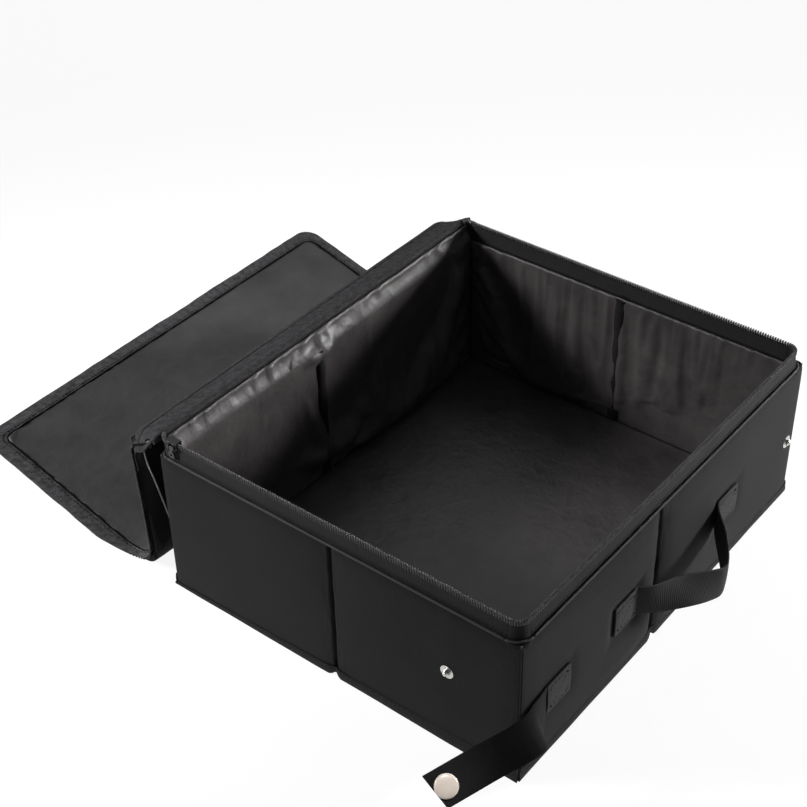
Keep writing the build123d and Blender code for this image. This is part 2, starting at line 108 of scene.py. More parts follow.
# %% Camera
camera_place = Vector((519.8, -739.4, 819.0)) * mm
azimuth, elevation, roll = math.radians(39.0), math.radians(37.56), math.radians(-1.354)
forward = Vector((-math.sin(azimuth) * math.cos(elevation), math.cos(azimuth) * math.cos(elevation),
                  -math.sin(elevation)))
right = Vector((math.cos(azimuth), math.sin(azimuth), 0))
above = right.cross(forward)
picture_right = right * math.cos(roll) + above * math.sin(roll)
picture_up = above * math.cos(roll) - right * math.sin(roll)
camera = bpy.data.objects.new("camera", bpy.data.cameras.new("camera"))
camera.data.lens = 72.71
camera.data.sensor_width = 36
camera.matrix_world = Matrix((picture_right, picture_up, -forward)).transposed().to_4x4()
camera.location = camera_place
bpy.context.scene.collection.objects.link(camera)
bpy.context.scene.camera = camera
bpy.context.scene.view_settings.view_transform = "Standard"
print("lens", camera.data.lens, "mm")

# %% [markdown]
# A material is a small network of nodes. Written out link by link it is hard to read, so a value in
# the network is wrapped in a class, and Python's own arithmetic on it adds the Math nodes.
# 1 - mask works too, because the class also has the reflected forms of its operators.


# %% A value in a material
class Wire:
    """One output of a node, which arithmetic turns into Math nodes."""

    def __init__(self, finish, socket):
        self.finish = finish
        self.socket = socket

    def _math(self, operation, values, clamp=False):
        return self.finish.node("ShaderNodeMath", {"operation": operation, "use_clamp": clamp}, values)

    def __add__(self, other):
        return self._math("ADD", [self, other])

    def __sub__(self, other):
        return self._math("SUBTRACT", [self, other])

    def __rsub__(self, other):
        return self._math("SUBTRACT", [other, self])

    def __mul__(self, other):
        return self._math("MULTIPLY", [self, other])

    __radd__ = __add__
    __rmul__ = __mul__

    def sine(self):
        return self._math("SINE", [self])

    def size(self):
        return self._math("ABSOLUTE", [self])

    def clamped(self):
        return self._math("ADD", [self, 0], clamp=True)


# %% [markdown]
# Each finish starts from Blender's Principled shader, and what varies over the surface is fed in.
# One method adds every kind of node: its settings first, because they can change its sockets, and
# then its inputs, each a plain value or a wire. Cloth reads a UV map that holds its flat size in
# metres, so a weave keeps its pitch and bends with the piece. Rigid pieces read their own place.


# %% A procedural finish
def shade(code):
    """A colour code as a picture editor shows it, turned into the linear values that light uses."""
    values = [int(code[place:place + 2], 16) / 255 for place in (0, 2, 4)]
    return tuple(v / 12.92 if v <= 0.04045 else ((v + 0.055) / 1.055) ** 2.4 for v in values) + (1,)


class Finish:
    """A material in the making."""

    def __init__(self, name, **constants):
        self.material = bpy.data.materials.new(name)
        self.material.use_nodes = True
        self.tree = self.material.node_tree
        self.shader = self.tree.nodes["Principled BSDF"]
        for socket, value in constants.items():
            self.shader.inputs[socket.replace("_", " ")].default_value = value

    def node(self, kind, settings=None, inputs=None, output=0):
        made = self.tree.nodes.new(kind)
        for setting, value in (settings or {}).items():
            if setting == "stops":
                for stop, (place, colour) in zip(made.color_ramp.elements, value):
                    stop.position = place
                    stop.color = colour
            else:
                setattr(made, setting, value)
        pairs = enumerate(inputs) if isinstance(inputs, list) else (inputs or {}).items()
        for socket, value in pairs:
            self.feed(made.inputs[socket], value)
        return Wire(self, made.outputs[output])

    def feed(self, socket, value):
        if isinstance(value, Wire):
            self.tree.links.new(value.socket, socket)
        else:
            socket.default_value = value

    def set(self, socket, value):
        self.feed(self.shader.inputs[socket], value)

    def mix(self, factor, first, second):
        return self.node("ShaderNodeMix", {"data_type": "RGBA"}, {0: factor, 6: first, 7: second}, 2)

    def place(self, cloth):
        """Where a point is: on the flat cloth, or in the object's own space."""
        if cloth:
            return self.node("ShaderNodeUVMap", {"uv_map": "flat_cloth"})
        return self.node("ShaderNodeTexCoord", output=3)

    def split(self, place):
        return [self.node("ShaderNodeSeparateXYZ", inputs=[place], output=axis) for axis in range(3)]

    def noise(self, place, size, detail=2.0, roughness=0.5):
        return self.node("ShaderNodeTexNoise", None,
                         {"Vector": place, "Scale": 1 / size, "Detail": detail, "Roughness": roughness})

    def paint(self, tone, colour, light):
        """Goes from colour to light where tone goes from 0 to 1."""
        self.set("Base Color", self.mix(tone.clamped(), shade(colour), shade(light)))

    def roughen(self, rough, pattern, share):
        self.set("Roughness", (rough + (pattern - 0.5) * share).clamped())

    def bump(self, height, depth):
        relief = {"Strength": 1, "Distance": depth, "Height": height}
        self.set("Normal", self.node("ShaderNodeBump", None, relief))


# %% [markdown]
# The outer cloth is a coated oxford weave: two threads over two, each about half a millimetre wide.
# Two crossed sine waves make the weave's little hills, and slow noise adds the uneven sheen that
# folded cloth picks up. Threads are drawn a touch larger than life so that they still show.


# %% Woven cloth
thread_relief = 0.12 * mm


def woven(name, colour, light, rough, pitch, cloth=True):
    """Plain woven cloth: colour in the hollows, light on the threads' tops."""
    made = Finish(name, Roughness=rough, Specular_IOR_Level=0.2)
    place = made.place(cloth)
    u, v, w = made.split(place)
    turn = 2 * math.pi / pitch
    weave = (u * turn).sine() * (v * turn).sine()
    if not cloth:
        weave = weave + (w * turn).sine() * (u * turn + v * turn).sine()
    cloud = made.noise(place, 60 * mm, 3.0)
    slub = made.noise(place, 1.6 * mm, 1.0)
    made.paint(weave * 0.16 + (cloud - 0.5) * 0.35 + (slub - 0.5) * 0.5 + 0.5, colour, light)
    made.roughen(rough, cloud, 0.16)
    made.bump(weave * 0.5 + slub, thread_relief)
    return made.material


def ribbed(name, colour, light, rough, pitch, cloth=True):
    """Woven tape: ribs across its length, with a slight fuzz."""
    made = Finish(name, Roughness=rough, Specular_IOR_Level=0.15)
    place = made.place(cloth)
    u, v, w = made.split(place)
    turn = 2 * math.pi / pitch
    run = v if cloth else u + v + w
    rib = (run * turn).sine()
    fuzz = made.noise(place, 1.1 * mm, 3.0)
    cloud = made.noise(place, 25 * mm, 2.0)
    made.paint(rib * 0.14 + (fuzz - 0.5) * 0.7 + (cloud - 0.5) * 0.4 + 0.45, colour, light)
    made.roughen(rough, fuzz, 0.2)
    made.bump(rib * 0.5 + fuzz * 0.8, thread_relief)
    return made.material


outer_cloth = woven("outer_cloth", "141415", "212122", 0.85, 1.1 * mm)
lid_cloth = woven("lid_cover_cloth", "151516", "222223", 0.85, 1.1 * mm)
# Much lighter than the outer cloth it is turned from: a painted highlight for rolled seams and welts.
seam_highlight_cloth = woven("rolled_seam_highlight_cloth", "38383a", "565657", 0.75, 0.9 * mm)
binding_cloth = ribbed("binding_cloth", "1b1b1c", "2c2c2d", 0.8, 1.2 * mm)
zip_cloth = ribbed("zip_tape_cloth", "242324", "3c3b3c", 0.85, 1.3 * mm)
# Near-black, far darker than the zip tape: painted shade for the flap's gap and the border's seam.
painted_shade_cloth = ribbed("painted_shade_cloth", "050505", "0a0a0b", 0.95, 1.3 * mm)
webbing_cloth = ribbed("webbing_cloth", "303031", "48484a", 0.8, 0.9 * mm)
# The strap's copy of the webbing is painted much darker than the handle's: painted shade.
shaded_strap_cloth = ribbed("shaded_strap_cloth", "0c0c0d", "19191a", 0.8, 0.9 * mm)


def brushed(name, colour, light):
    """Brushed tape: no ribs, only a matted nap in clumps."""
    made = Finish(name, Roughness=0.95, Specular_IOR_Level=0.15)
    place = made.place(True)
    clump = made.noise(place, 4.5 * mm, 4.0, 0.65)
    nap = made.noise(place, 1.2 * mm, 3.0, 0.6)
    made.paint((clump - 0.5) * 1.9 + (nap - 0.5) * 1.2 + 0.5, colour, light)
    made.bump(clump + nap * 0.6, 0.6 * mm)
    return made.material


brushed_cloth = brushed("brushed_strip_cloth", "212122", "4c4c4e")
border_cloth = brushed("brushed_border_cloth", "2a2a2b", "606062")
print("woven finishes made")

# %% [markdown]
# The lining is thin taffeta with a waterproof coat. It reflects more sharply than the outer cloth,
# it shows long creases from being folded, and the threads hardly show.
# The creases that change its outline are in the mesh, and only the finest are left to the bump.


# %% Coated lining
def coated(name, colour, light, rough, crease):
    """Coated taffeta: a soft gloss broken by fine creases."""
    made = Finish(name, Roughness=rough, Specular_IOR_Level=0.4)
    place = made.place(True)
    u, v, _ = made.split(place)
    cloud = made.noise(place, 45 * mm, 3.0)
    wrinkle = made.noise(place, crease, 4.0, 0.55)
    ridges = 1 - (wrinkle - 0.5).size() * 6
    turn = 2 * math.pi / (0.8 * mm)
    weave = (u * turn).sine() * (v * turn).sine()
    # The slow cloud in the colour is partly uneven tone and partly painted reflection of the coat's gloss.
    made.paint((cloud - 0.5) * 1.5 + ridges.clamped() * 0.22 + weave * 0.05 + 0.4, colour, light)
    made.roughen(rough, cloud, 0.2)
    made.bump(ridges.clamped() * 0.6 + weave * 0.04 + cloud, 0.5 * mm)
    return made.material


lining_cloth = coated("coated_lining", "353333", "555151", 0.44, 26 * mm)
lid_lining_cloth = coated("coated_lid_lining", "292929", "4c4b4b", 0.5, 40 * mm)

# %% [markdown]
# The hard bits are small: coil teeth in black nylon, silver teeth on the lid, nickel studs, a pearl
# cap on the strap and a black slider. No moulded or plated part is one even tone, so two noises, one
# slow and one fine, shift its colour, and the fine one also its gloss and its surface.


# %% Hard finishes
def moulded(name, colour, light, rough, grain, metal=0.0, coat=0.0):
    """Plastic or metal with a slight unevenness, read from the piece's own place."""
    made = Finish(name, Roughness=rough, Metallic=metal, Coat_Weight=coat, Coat_Roughness=0.15)
    place = made.place(False)
    cloud = made.noise(place, grain * 6, 2.0)
    fine = made.noise(place, grain, 3.0, 0.6)
    made.paint(cloud * 0.6 + fine * 0.5 - 0.05, colour, light)
    made.roughen(rough, fine, 0.25)
    made.bump(fine, 0.03 * mm)
    return made.material


coil_nylon = moulded("coil_nylon", "303031", "585859", 0.6, 0.6 * mm)
# A near-black copy of the coil for the lid border's teeth: painted shade, the dark line under its edge.
shaded_coil = moulded("shaded_coil_nylon", "101011", "212122", 0.6, 0.6 * mm)
silver_teeth = moulded("silver_teeth", "a8a8a5", "dededa", 0.34, 0.6 * mm, metal=0.55)
nickel = moulded("nickel_plate", "a9a7a2", "e2e0da", 0.24, 0.8 * mm, metal=0.95)
pearl = moulded("pearl_cap", "c6b9ad", "d6cabf", 0.32, 1.4 * mm, metal=0.1, coat=0.5)
black_enamel = moulded("black_enamel", "0b0b0c", "1c1c1d", 0.5, 1.1 * mm, metal=0.4, coat=0.3)
thread = ribbed("sewing_thread", "1c1c1d", "363637", 0.6, 0.7 * mm, cloth=False)
board_grey = moulded("stiff_board", "5b5853", "77736c", 0.75, 2.0 * mm)
pad_foam = woven("floor_pad_cloth", "232324", "303031", 0.85, 1.4 * mm, cloth=False)
print("hard finishes made")

# %% [markdown]
# The floor is white and keeps the soft shadow. Looked at directly it is mostly a glowing white, so
# that the picture's ground stays clean without pouring light on the dark cloth.
# Glossy rays see the same white, so that the metal reflects what the eye sees round it.
# Three large soft boxes light the cloth. A tiny narrow lamp lifts the snap's cap alone, because the
# boxes are turned down for black cloth and would leave a pale cap grey.


# %% Floor, world and lamps
def seen_rays(finish):
    """1 for rays from the camera and for those that reflections and clear things send on."""
    rays = [finish.node("ShaderNodeLightPath", output=name) for name in ("Is Camera Ray", "Is Glossy Ray")]
    through = finish.node("ShaderNodeLightPath", output="Is Transmission Ray")
    return (rays[0] + rays[1] + through).clamped()


floor_finish = Finish("white_ground", Roughness=0.9)
speckle = floor_finish.noise(floor_finish.place(False), 400 * mm)
floor_finish.set("Base Color", floor_finish.mix(speckle, (0.78, 0.78, 0.78, 1), (0.82, 0.82, 0.82, 1)))
glow = floor_finish.node("ShaderNodeEmission", None, {"Color": (1, 1, 1, 1), "Strength": 1.24})
ground_glow_share = 0.72
lit = floor_finish.node("ShaderNodeMixShader", None,
                        {0: seen_rays(floor_finish) * ground_glow_share,
                         1: Wire(floor_finish, floor_finish.shader.outputs[0]), 2: glow})
floor_finish.tree.links.new(lit.socket, floor_finish.tree.nodes["Material Output"].inputs["Surface"])

floor_bm = bmesh.new()
bmesh.ops.create_grid(floor_bm, x_segments=8, y_segments=8, size=6)
bmesh.ops.translate(floor_bm, verts=floor_bm.verts, vec=(0, 0, -0.4 * mm))
floor_mesh = bpy.data.meshes.new("ground")
floor_bm.to_mesh(floor_mesh)
floor_bm.free()
floor_mesh.materials.append(floor_finish.material)
ground = bpy.data.objects.new("ground", floor_mesh)
bpy.context.scene.collection.objects.link(ground)

world = bpy.data.worlds.new("studio")
bpy.context.scene.world = world
world.use_nodes = True
sky = world.node_tree
for node in list(sky.nodes):
    sky.nodes.remove(node)
rays = sky.nodes.new("ShaderNodeLightPath")
seen = sky.nodes.new("ShaderNodeMath")
seen.operation = "MAXIMUM"
sky.links.new(rays.outputs["Is Camera Ray"], seen.inputs[0])
sky.links.new(rays.outputs["Is Transmission Ray"], seen.inputs[1])
chosen = sky.nodes.new("ShaderNodeMixShader")
sky.links.new(seen.outputs[0], chosen.inputs[0])
sky_light, sky_seen = 0.1, 1.0
for place, strength in ((1, sky_light), (2, sky_seen)):
    backdrop = sky.nodes.new("ShaderNodeBackground")
    backdrop.inputs["Color"].default_value = (1, 1, 1, 1)
    backdrop.inputs["Strength"].default_value = strength
    sky.links.new(backdrop.outputs[0], chosen.inputs[place])
shown = sky.nodes.new("ShaderNodeOutputWorld")
sky.links.new(chosen.outputs[0], shown.inputs["Surface"])


def lamp(name, place, target, power, size, spread):
    """A square soft box that looks at a target. A honeycomb on it narrows its spread."""
    place, target = Vector(place), Vector(target)
    light = bpy.data.lights.new(name, "AREA")
    light.energy = power
    light.size = size
    light.spread = math.radians(spread)
    holder = bpy.data.objects.new(name, light)
    holder.location = place
    holder.rotation_euler = (target - place).to_track_quat("-Z", "Y").to_euler()
    bpy.context.scene.collection.objects.link(holder)
    print(name, power, "W")


lamp("key_right", (1.0, 1.5, 0.36), (0.2, 0.36, 0.08), 2.2, 0.5, 30)
lamp("fill_left", (-1.25, -1.1, 0.8), (-0.3, -0.15, 0.05), 1.7, 0.5, 34)
lamp("over_behind", (-0.9, 1.3, 1.9), (0, 0, 0.06), 8.8, 1.5, 180)
lamp("spot_snap", (0.24, -0.21, 0.62), (0.1363, -0.2335, 0.036), 0.0065, 0.02, 7)

# %% [markdown]
# Nearly every piece here is a sheet: a grid that starts flat, with its flat size in its UV map, and
# that a formula then lays in place. Its thickness comes from a Solidify modifier and its rounded
# edges from a Bevel, so the mesh itself stays a simple quilt of squares that can bend.


# %% Cloth helpers
def to_object(bm, name, material, smooth=True):
    """Turns a finished bmesh into an object at the origin with one material."""
    mesh = bpy.data.meshes.new(name)
    for face in bm.faces:
        face.smooth = smooth
    bm.to_mesh(mesh)
    bm.free()
    mesh.materials.append(material)
    piece = bpy.data.objects.new(name, mesh)
    bpy.context.scene.collection.objects.link(piece)
    return piece


def quilt(wide, long, columns, rows, lay, ring=False, spread=None):
    """A grid of cloth that lay(across, along) puts in place, with its flat size in its UVs.
    A ring's two long edges are sewn together and its ends closed, which makes a tube.
    A spread shares its columns out unevenly."""
    bm = bmesh.new()
    flat = bm.loops.layers.uv.new("flat_cloth")
    bmesh.ops.create_grid(bm, x_segments=columns, y_segments=rows, size=0.5, calc_uvs=True)
    for vert in bm.verts if spread else ():
        vert.co.x = spread(vert.co.x + 0.5) - 0.5
    for face in bm.faces:
        for corner in face.loops:
            place = corner.vert.co
            corner[flat].uv = ((place.x + 0.5) * wide, (place.y + 0.5) * long)
    for vert in bm.verts:
        vert.co = lay(vert.co.x + 0.5, vert.co.y + 0.5)
    if ring:
        bmesh.ops.remove_doubles(bm, verts=bm.verts, dist=0.001 * mm)
        ends = [edge for edge in bm.edges if edge.is_boundary]
        bmesh.ops.holes_fill(bm, edges=ends, sides=0)
        bmesh.ops.recalc_face_normals(bm, faces=bm.faces)
    return bm


def closer_at(middle):
    """A spread that puts columns closer together near one share, where the cloth is creased."""
    def spread(share):
        side = middle if share < middle else 1 - middle
        part = (share - middle) / side
        return middle + math.copysign(abs(part) ** 1.7, part) * side
    return spread


def turned_to(bm, outward):
    """Turns an open sheet so that its faces look along outward on the whole."""
    bm.normal_update()
    total = sum((face.normal * face.calc_area() for face in bm.faces), Vector())
    if total.dot(outward) < 0:
        bmesh.ops.reverse_faces(bm, faces=bm.faces)
    return bm


def thicken(piece, thickness, offset=-1.0, even=True):
    """A live Solidify, which keeps the sheet's own mesh thin enough to bend."""
    made = piece.modifiers.new("thickness", "SOLIDIFY")
    made.thickness = thickness
    made.offset = offset
    made.use_even_offset = even
    made.use_quality_normals = True
    return piece


def round_edges(piece, width, segments=3, angle=50):
    made = piece.modifiers.new("soft_edges", "BEVEL")
    made.width = width
    made.segments = segments
    made.limit_method = "ANGLE"
    made.angle_limit = math.radians(angle)
    return piece


def belongs(piece, body, slot, *nodes):
    """Hangs a piece on its body, or for a pair of bodies only bakes its place, and hides the nodes it stands
    for. The slot is not used.
    """
    if isinstance(body, str):
        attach(piece, body)
    else:
        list(body)
        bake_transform(piece)
    if nodes:
        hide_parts(*nodes)
    print(piece.name, len(piece.data.polygons), "faces")
    return piece


def ripple(place, size, seed=0.0):
    """Smooth noise between -1 and 1, the same on every run."""
    return noise.noise(place / size + Vector((seed, seed * 1.7, seed * 0.3)))


def bell(distance, width):
    """1 at nought, fading to nothing past width."""
    return math.exp(-((distance / width) ** 2))


# %% [markdown]
# Each wall is two boards in a cloth sleeve with a sewn channel between them, where it folds.
# The sleeve can't be flat: the boards hold it out, the seams draw it in, and it dips into the
# channel. One function gives the sleeve's height over its boards, and every wall uses it.
# The walls' boards stay as the CAD made them, hidden inside, and only get a finish.

# %% Outer wall covers
front_half = handle_x - 1.4 * mm
side_half = back_y - 1.4 * mm
sleeve_swell = 0.7 * mm
channel_dip = 3.4 * mm
channel_width = 1.2 * mm
valley_depth = 1.3 * mm
valley_reach = 13 * mm
handle_wall_bow = 3.2 * mm
bow_rise = 20 * mm
bow_reach = 80 * mm
far_rise_share = 0.6
board_shoulder = 16 * mm
seam_draw = 1.0 * mm
sewn_down = {"handle": [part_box(node) for node in ("handle_anchor_near", "handle_anchor_far", "strap_anchor")]}


def held_flat(side, along, up):
    """1 on a sewn patch, where the sleeve is held down, fading to 0 past its edge."""
    held = 0.0
    for low, high in sewn_down.get(side, ()):
        past = max(low.y - along, along - high.y, low.z - up, up - high.z, 0.0)
        held = max(held, bell(past, 6 * mm))
    return held


def sleeve_height(side, along, up, half, crease, bow, seed):
    """How far the sleeve stands out of the wall's plane at a point."""
    from_crease = abs(along - crease)
    from_end = half - abs(along)
    from_edge = min(up - foot_z, rim_z - up)
    board = min(from_crease / board_shoulder, from_end / board_shoulder, from_edge / (12 * mm), 1.0)
    height = sleeve_swell * math.sin(board * math.pi / 2) - seam_draw * bell(from_edge, 2.2 * mm)
    height -= channel_dip * bell(from_crease, channel_width) * (0.85 + 0.15 * math.sin(up / (5 * mm)))
    if bow:
        proud = min(1.0, 2.2 * max(0.0, math.sin(math.pi * (up - foot_z) / (rim_z - foot_z))))
        rise = bow_rise if along < crease else bow_rise * far_rise_share
        height += bow * proud * (1 - math.exp(-from_crease / rise)) * bell(from_crease, bow_reach)
    height -= valley_depth * math.exp(-from_crease / valley_reach)
    pucker = ripple(Vector((along, up * 0.25, seed)), 9 * mm, seed)
    slack = ripple(Vector((along * 0.6, up, seed)), 34 * mm, seed)
    height += 0.34 * mm * pucker * bell(from_edge, 10 * mm) + 0.45 * mm * slack * board
    height += 0.4 * mm * ripple(Vector((along * 2.5, up, 0)), 8 * mm, seed) * bell(from_crease, 9 * mm)
    held = held_flat(side, along, up)
    return height * (1 - held) + min(height, 0.0) * held


def wall_cover(side, half, crease, bow, seed, body, *nodes):
    """One wall's outer sleeve, a padded slab that dips into its channel."""
    foot = foot_z if side != "hinge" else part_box("hinge_wall_cover")[0].z

    def lay(across, up_share):
        along = (across * 2 - 1) * half
        up = foot + up_share * (rim_z - foot)
        return on_wall(side, along, sleeve_height(side, along, up, half, crease, bow, seed), up)

    bm = quilt(2 * half, rim_z - foot, 150, 48, lay, spread=closer_at((crease / half + 1) / 2))
    cover = to_object(turned_to(bm, walls[side][2]), side + "_cover", outer_cloth)
    thicken(cover, wall_thickness - 0.3 * mm, even=False)
    round_edges(cover, 1.6 * mm)
    belongs(cover, body, "outer_cloth", *nodes)


def halves(side, kind):
    """The two nodes that one piece of a folding wall stands for."""
    return f"{side}_left_{kind}", f"{side}_right_{kind}"


def folding(side, reach):
    """A folding wall's two bodies, and the two points between which its cloth would bend from one to the other.
    """
    middle, half = on_wall(side, front_crease_x, 0, 0), Vector((reach, 0, 0))
    return side + "_left", side + "_right", middle - half, middle + half


cover_bend = 3.5 * mm
for side, seed in (("front", 3.0), ("back", 5.0)):
    wall_cover(side, front_half, front_crease_x, 0.0, seed, folding(side, cover_bend), *halves(side, "cover"))
wall_cover("hinge", side_half, side_crease_y, 0.0, 7.0, "tub", "hinge_wall_cover")
wall_cover("handle", side_half, side_crease_y, handle_wall_bow, 9.0, "handle_wall", "handle_wall_cover")


def refinish(node, finish):
    """Gives a piece that stays as the CAD made it one finish."""
    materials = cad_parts[node].data.materials
    materials.clear()
    materials.append(finish)


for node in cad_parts:
    if node.endswith(("_board", "_boards")):
        refinish(node, board_grey)

# %% [markdown]
# The lining is cut larger than the wall it covers, so it hangs in loose folds inside the tub.
# Wrinkles drawn by hand look drawn, so each lining is a cloth simulation: a sheet sewn along its
# edges grows by a few percent, gravity pulls on it, and it buckles where it likes.
# A little noise before the start chooses which folds grow, and it is the same on every run.
# The result is capped so that it neither goes into the boards nor fills the tub.


# %% Simulated linings
def settle(piece, sewn, growth, weight, stiffness, frames=16):
    """Runs a short cloth simulation on a sheet whose sewn points stay put, and keeps the result."""
    group = piece.vertex_groups.new(name="sewn")
    group.add(sewn, 1.0, "REPLACE")
    fabric = piece.modifiers.new("fabric", "CLOTH")
    for setting, value in (("vertex_group_mass", "sewn"), ("quality", 10), ("mass", 0.2),
                           ("tension_stiffness", 12), ("compression_stiffness", 12), ("shear_stiffness", 6),
                           ("bending_stiffness", stiffness), ("shrink_min", -growth),
                           ("shrink_max", -growth)):
        setattr(fabric.settings, setting, value)
    fabric.settings.effector_weights.gravity = weight
    fabric.collision_settings.use_collision = False
    fabric.collision_settings.use_self_collision = False
    fabric.point_cache.frame_start = 1
    fabric.point_cache.frame_end = frames
    for step in range(1, frames + 1):
        bpy.context.scene.frame_set(step)
    settled = piece.evaluated_get(bpy.context.evaluated_depsgraph_get()).to_mesh()
    places = [vert.co.copy() for vert in settled.vertices]
    piece.evaluated_get(bpy.context.evaluated_depsgraph_get()).to_mesh_clear()
    piece.modifiers.remove(fabric)
    piece.vertex_groups.remove(group)
    bpy.context.scene.frame_set(1)
    for vert, place in zip(piece.data.vertices, places):
        vert.co = place


def cap(piece, flat, outward, highest, drift=2.5 * mm):
    """Keeps a settled sheet between its flat place and a height over it, easing it down instead of
    cutting it, and keeps its points from sliding far along it."""
    for vert, base, out in zip(piece.data.vertices, flat, outward):
        move = vert.co - base
        height = move.dot(out)
        slide = move - out * height
        if slide.length > drift:
            slide *= drift / slide.length
        limit = highest(base) if callable(highest) else highest
        vert.co = base + slide + out * (limit * math.tanh(max(height, 0.0) / limit))
    piece.data.update()


def flat_places(wide, long, columns, rows, lay):
    """Where each point of a sheet would be with no folds in it."""
    bm = quilt(wide, long, columns, rows, lay)
    places = [vert.co.copy() for vert in bm.verts]
    bm.free()
    return places


def border_points(columns, rows):
    """The points along a grid's four edges, which are sewn."""
    step = columns + 1
    sewn = {x + y * step for x in range(step) for y in (0, rows)}
    return sorted(sewn | {x + y * step for x in (0, columns) for y in range(rows + 1)})


lining_thickness = 0.5 * mm
lining_foot = 1.2 * mm
lid_side_top = tape_z - 0.4 * mm
lid_side_lean = 5.2 * mm


def wall_lining(side, half, body, highest, growth, fold_size, seed, *nodes, top=rim_z):
    """One wall's lining, sewn at its edges and hanging in folds. On the lid's wall it goes on past
    the boards and leans out over their tops, as far as the strip that the lid hangs on."""
    columns, rows = 116, 50
    high = top - lining_foot
    crease = side_crease_y if side in ("hinge", "handle") else front_crease_x

    def depth(up):
        past = min(max((up - rim_z) / (10 * mm), 0.0), 1.0)
        return lining_depth - lid_side_lean * past * past * (3 - 2 * past)

    def lay_flat(across, up_share):
        up = lining_foot + up_share * high
        return on_wall(side, (across * 2 - 1) * half, -depth(up), up)

    def lay(across, up_share):
        along = (across * 2 - 1) * half
        up = lining_foot + up_share * high
        loose = math.sin(math.pi * across) * math.sin(math.pi * up_share)
        upright = abs(ripple(Vector((along, up * 0.3, seed)), fold_size, seed))
        level = ripple(Vector((along * 0.3, up, seed)), fold_size * 0.8, seed + 4) * bell(top - up, 40 * mm)
        gather = ripple(Vector((along, up * 0.25, seed)), 12 * mm, seed + 9) * bell(top - up - 7 * mm, 9 * mm)
        bulge = highest * (upright * 1.1 + level * 0.8 - 0.1) * min(1.0, loose * 3) + 1.3 * mm * gather
        return lay_flat(across, up_share) - walls[side][2] * max(bulge, 0)

    bm = quilt(2 * half, high, columns, rows, lay)
    inward = -walls[side][2]
    sheet = to_object(turned_to(bm, inward), side + "_lining", lining_cloth)
    settle(sheet, border_points(columns, rows), growth, 0.35, 0.18)

    def room(base):
        """The lining is stitched through at the wall's own crease, so it can't rise there."""
        from_crease = abs((base - walls[side][0]).dot(walls[side][1]) - crease)
        return highest * (1 - 0.8 * bell(from_crease, 5 * mm)) * (1 - 0.6 * bell(top - base.z, 6 * mm))

    flat = flat_places(2 * half, high, columns, rows, lay_flat)
    cap(sheet, flat, [inward] * len(flat), room)
    thicken(sheet, lining_thickness)
    if body == "tub":
        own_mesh(sheet)
    belongs(sheet, body, "lining", *nodes)
    cut = 1 + growth
    2 * half * cut
    high * cut
    side + "_cover"


lining_bend = 11 * mm
front_lining_half, side_lining_half = corner_x + 0.6 * mm, corner_y + 0.6 * mm
wall_lining("front", front_lining_half, folding("front", lining_bend), 6 * mm, 0.05, 34 * mm, 11.0,
            *halves("front", "lining"))
wall_lining("back", front_lining_half, folding("back", lining_bend), 8 * mm, 0.07, 40 * mm, 13.0,
            *halves("back", "lining"))
wall_lining("hinge", side_lining_half, "tub", 14 * mm, 0.1, 50 * mm, 17.0, "hinge_wall_lining",
            top=lid_side_top)
wall_lining("handle", side_lining_half, "handle_wall", 6 * mm, 0.05, 36 * mm, 19.0, "handle_wall_lining")

# %% [markdown]
# The floor is the same lining laid over a thin pad. It is sewn to the walls at its edges and lies
# flat elsewhere, apart from a few low folds. When the tub folds up, the floor crumples between
# the walls, and no rigid motion says that.

# %% Floor lining and pad
floor_low, floor_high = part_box("floor_lining")
pad_low, pad_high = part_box("floor_pad")
floor_columns, floor_rows = 90, 106
floor_width, floor_length = floor_high.x - floor_low.x, floor_high.y - floor_low.y
floor_grid = (floor_width, floor_length, floor_columns, floor_rows)
floor_face = floor_low.z + 0.6 * mm
floor_fold, floor_fold_limit = 2.6 * mm, 4 * mm
upward = Vector((0, 0, 1))


def lay_floor(across, along):
    x = floor_low.x + across * floor_width
    y = floor_low.y + along * floor_length
    loose = min(1.0, 3 * math.sin(math.pi * across) * math.sin(math.pi * along))
    broad = max(ripple(Vector((x, y * 0.4, 0)), 52 * mm, 2.0), 0)
    low_fold = broad + 0.4 * max(ripple(Vector((x, y, 0)), 20 * mm), 0)
    return Vector((x, y, floor_face + floor_fold * low_fold * loose))


def lay_floor_flat(across, along):
    place = lay_floor(across, along)
    return Vector((place.x, place.y, floor_face))


floor_sheet = to_object(turned_to(quilt(*floor_grid, lay_floor), upward), "floor_cloth", lining_cloth)
settle(floor_sheet, border_points(floor_columns, floor_rows), 0.012, 0.8, 0.6, 12)
floor_flat = flat_places(*floor_grid, lay_floor_flat)
cap(floor_sheet, floor_flat, [upward] * len(floor_flat), floor_fold_limit)
thicken(floor_sheet, lining_thickness)
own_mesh(floor_sheet)
belongs(floor_sheet, "tub", "lining", "floor_lining")


def lay_pad(across, along):
    x = pad_low.x + across * (pad_high.x - pad_low.x)
    y = pad_low.y + along * (pad_high.y - pad_low.y)
    return Vector((x, y, pad_high.z))


pad_bm = turned_to(quilt(floor_width, floor_length, 24, 28, lay_pad), upward)
pad = round_edges(thicken(to_object(pad_bm, "floor_pad_cloth", pad_foam), pad_high.z - pad_low.z), 0.9 * mm)
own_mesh(pad)
belongs(pad, "tub", "floor_pad", "floor_pad")

# %% [markdown]
# Round the top runs one half of a zip: a cloth tape about twelve millimetres high that stands on
# the wall's seam and leans in a little, with the coil of teeth along its upper edge.
# A path along the rim tells where each piece of it goes: a place, the way the path runs and the way
# out. Straight stretches and rounded corners are both paths, so one function lays all the tape.


# %% Paths along the rim
def straight(side, start, stop):
    """A path along a wall, in its outer plane."""
    def at(share):
        return on_wall(side, start + (stop - start) * share, 0, 0), walls[side][1], walls[side][2]
    return at, abs(stop - start)


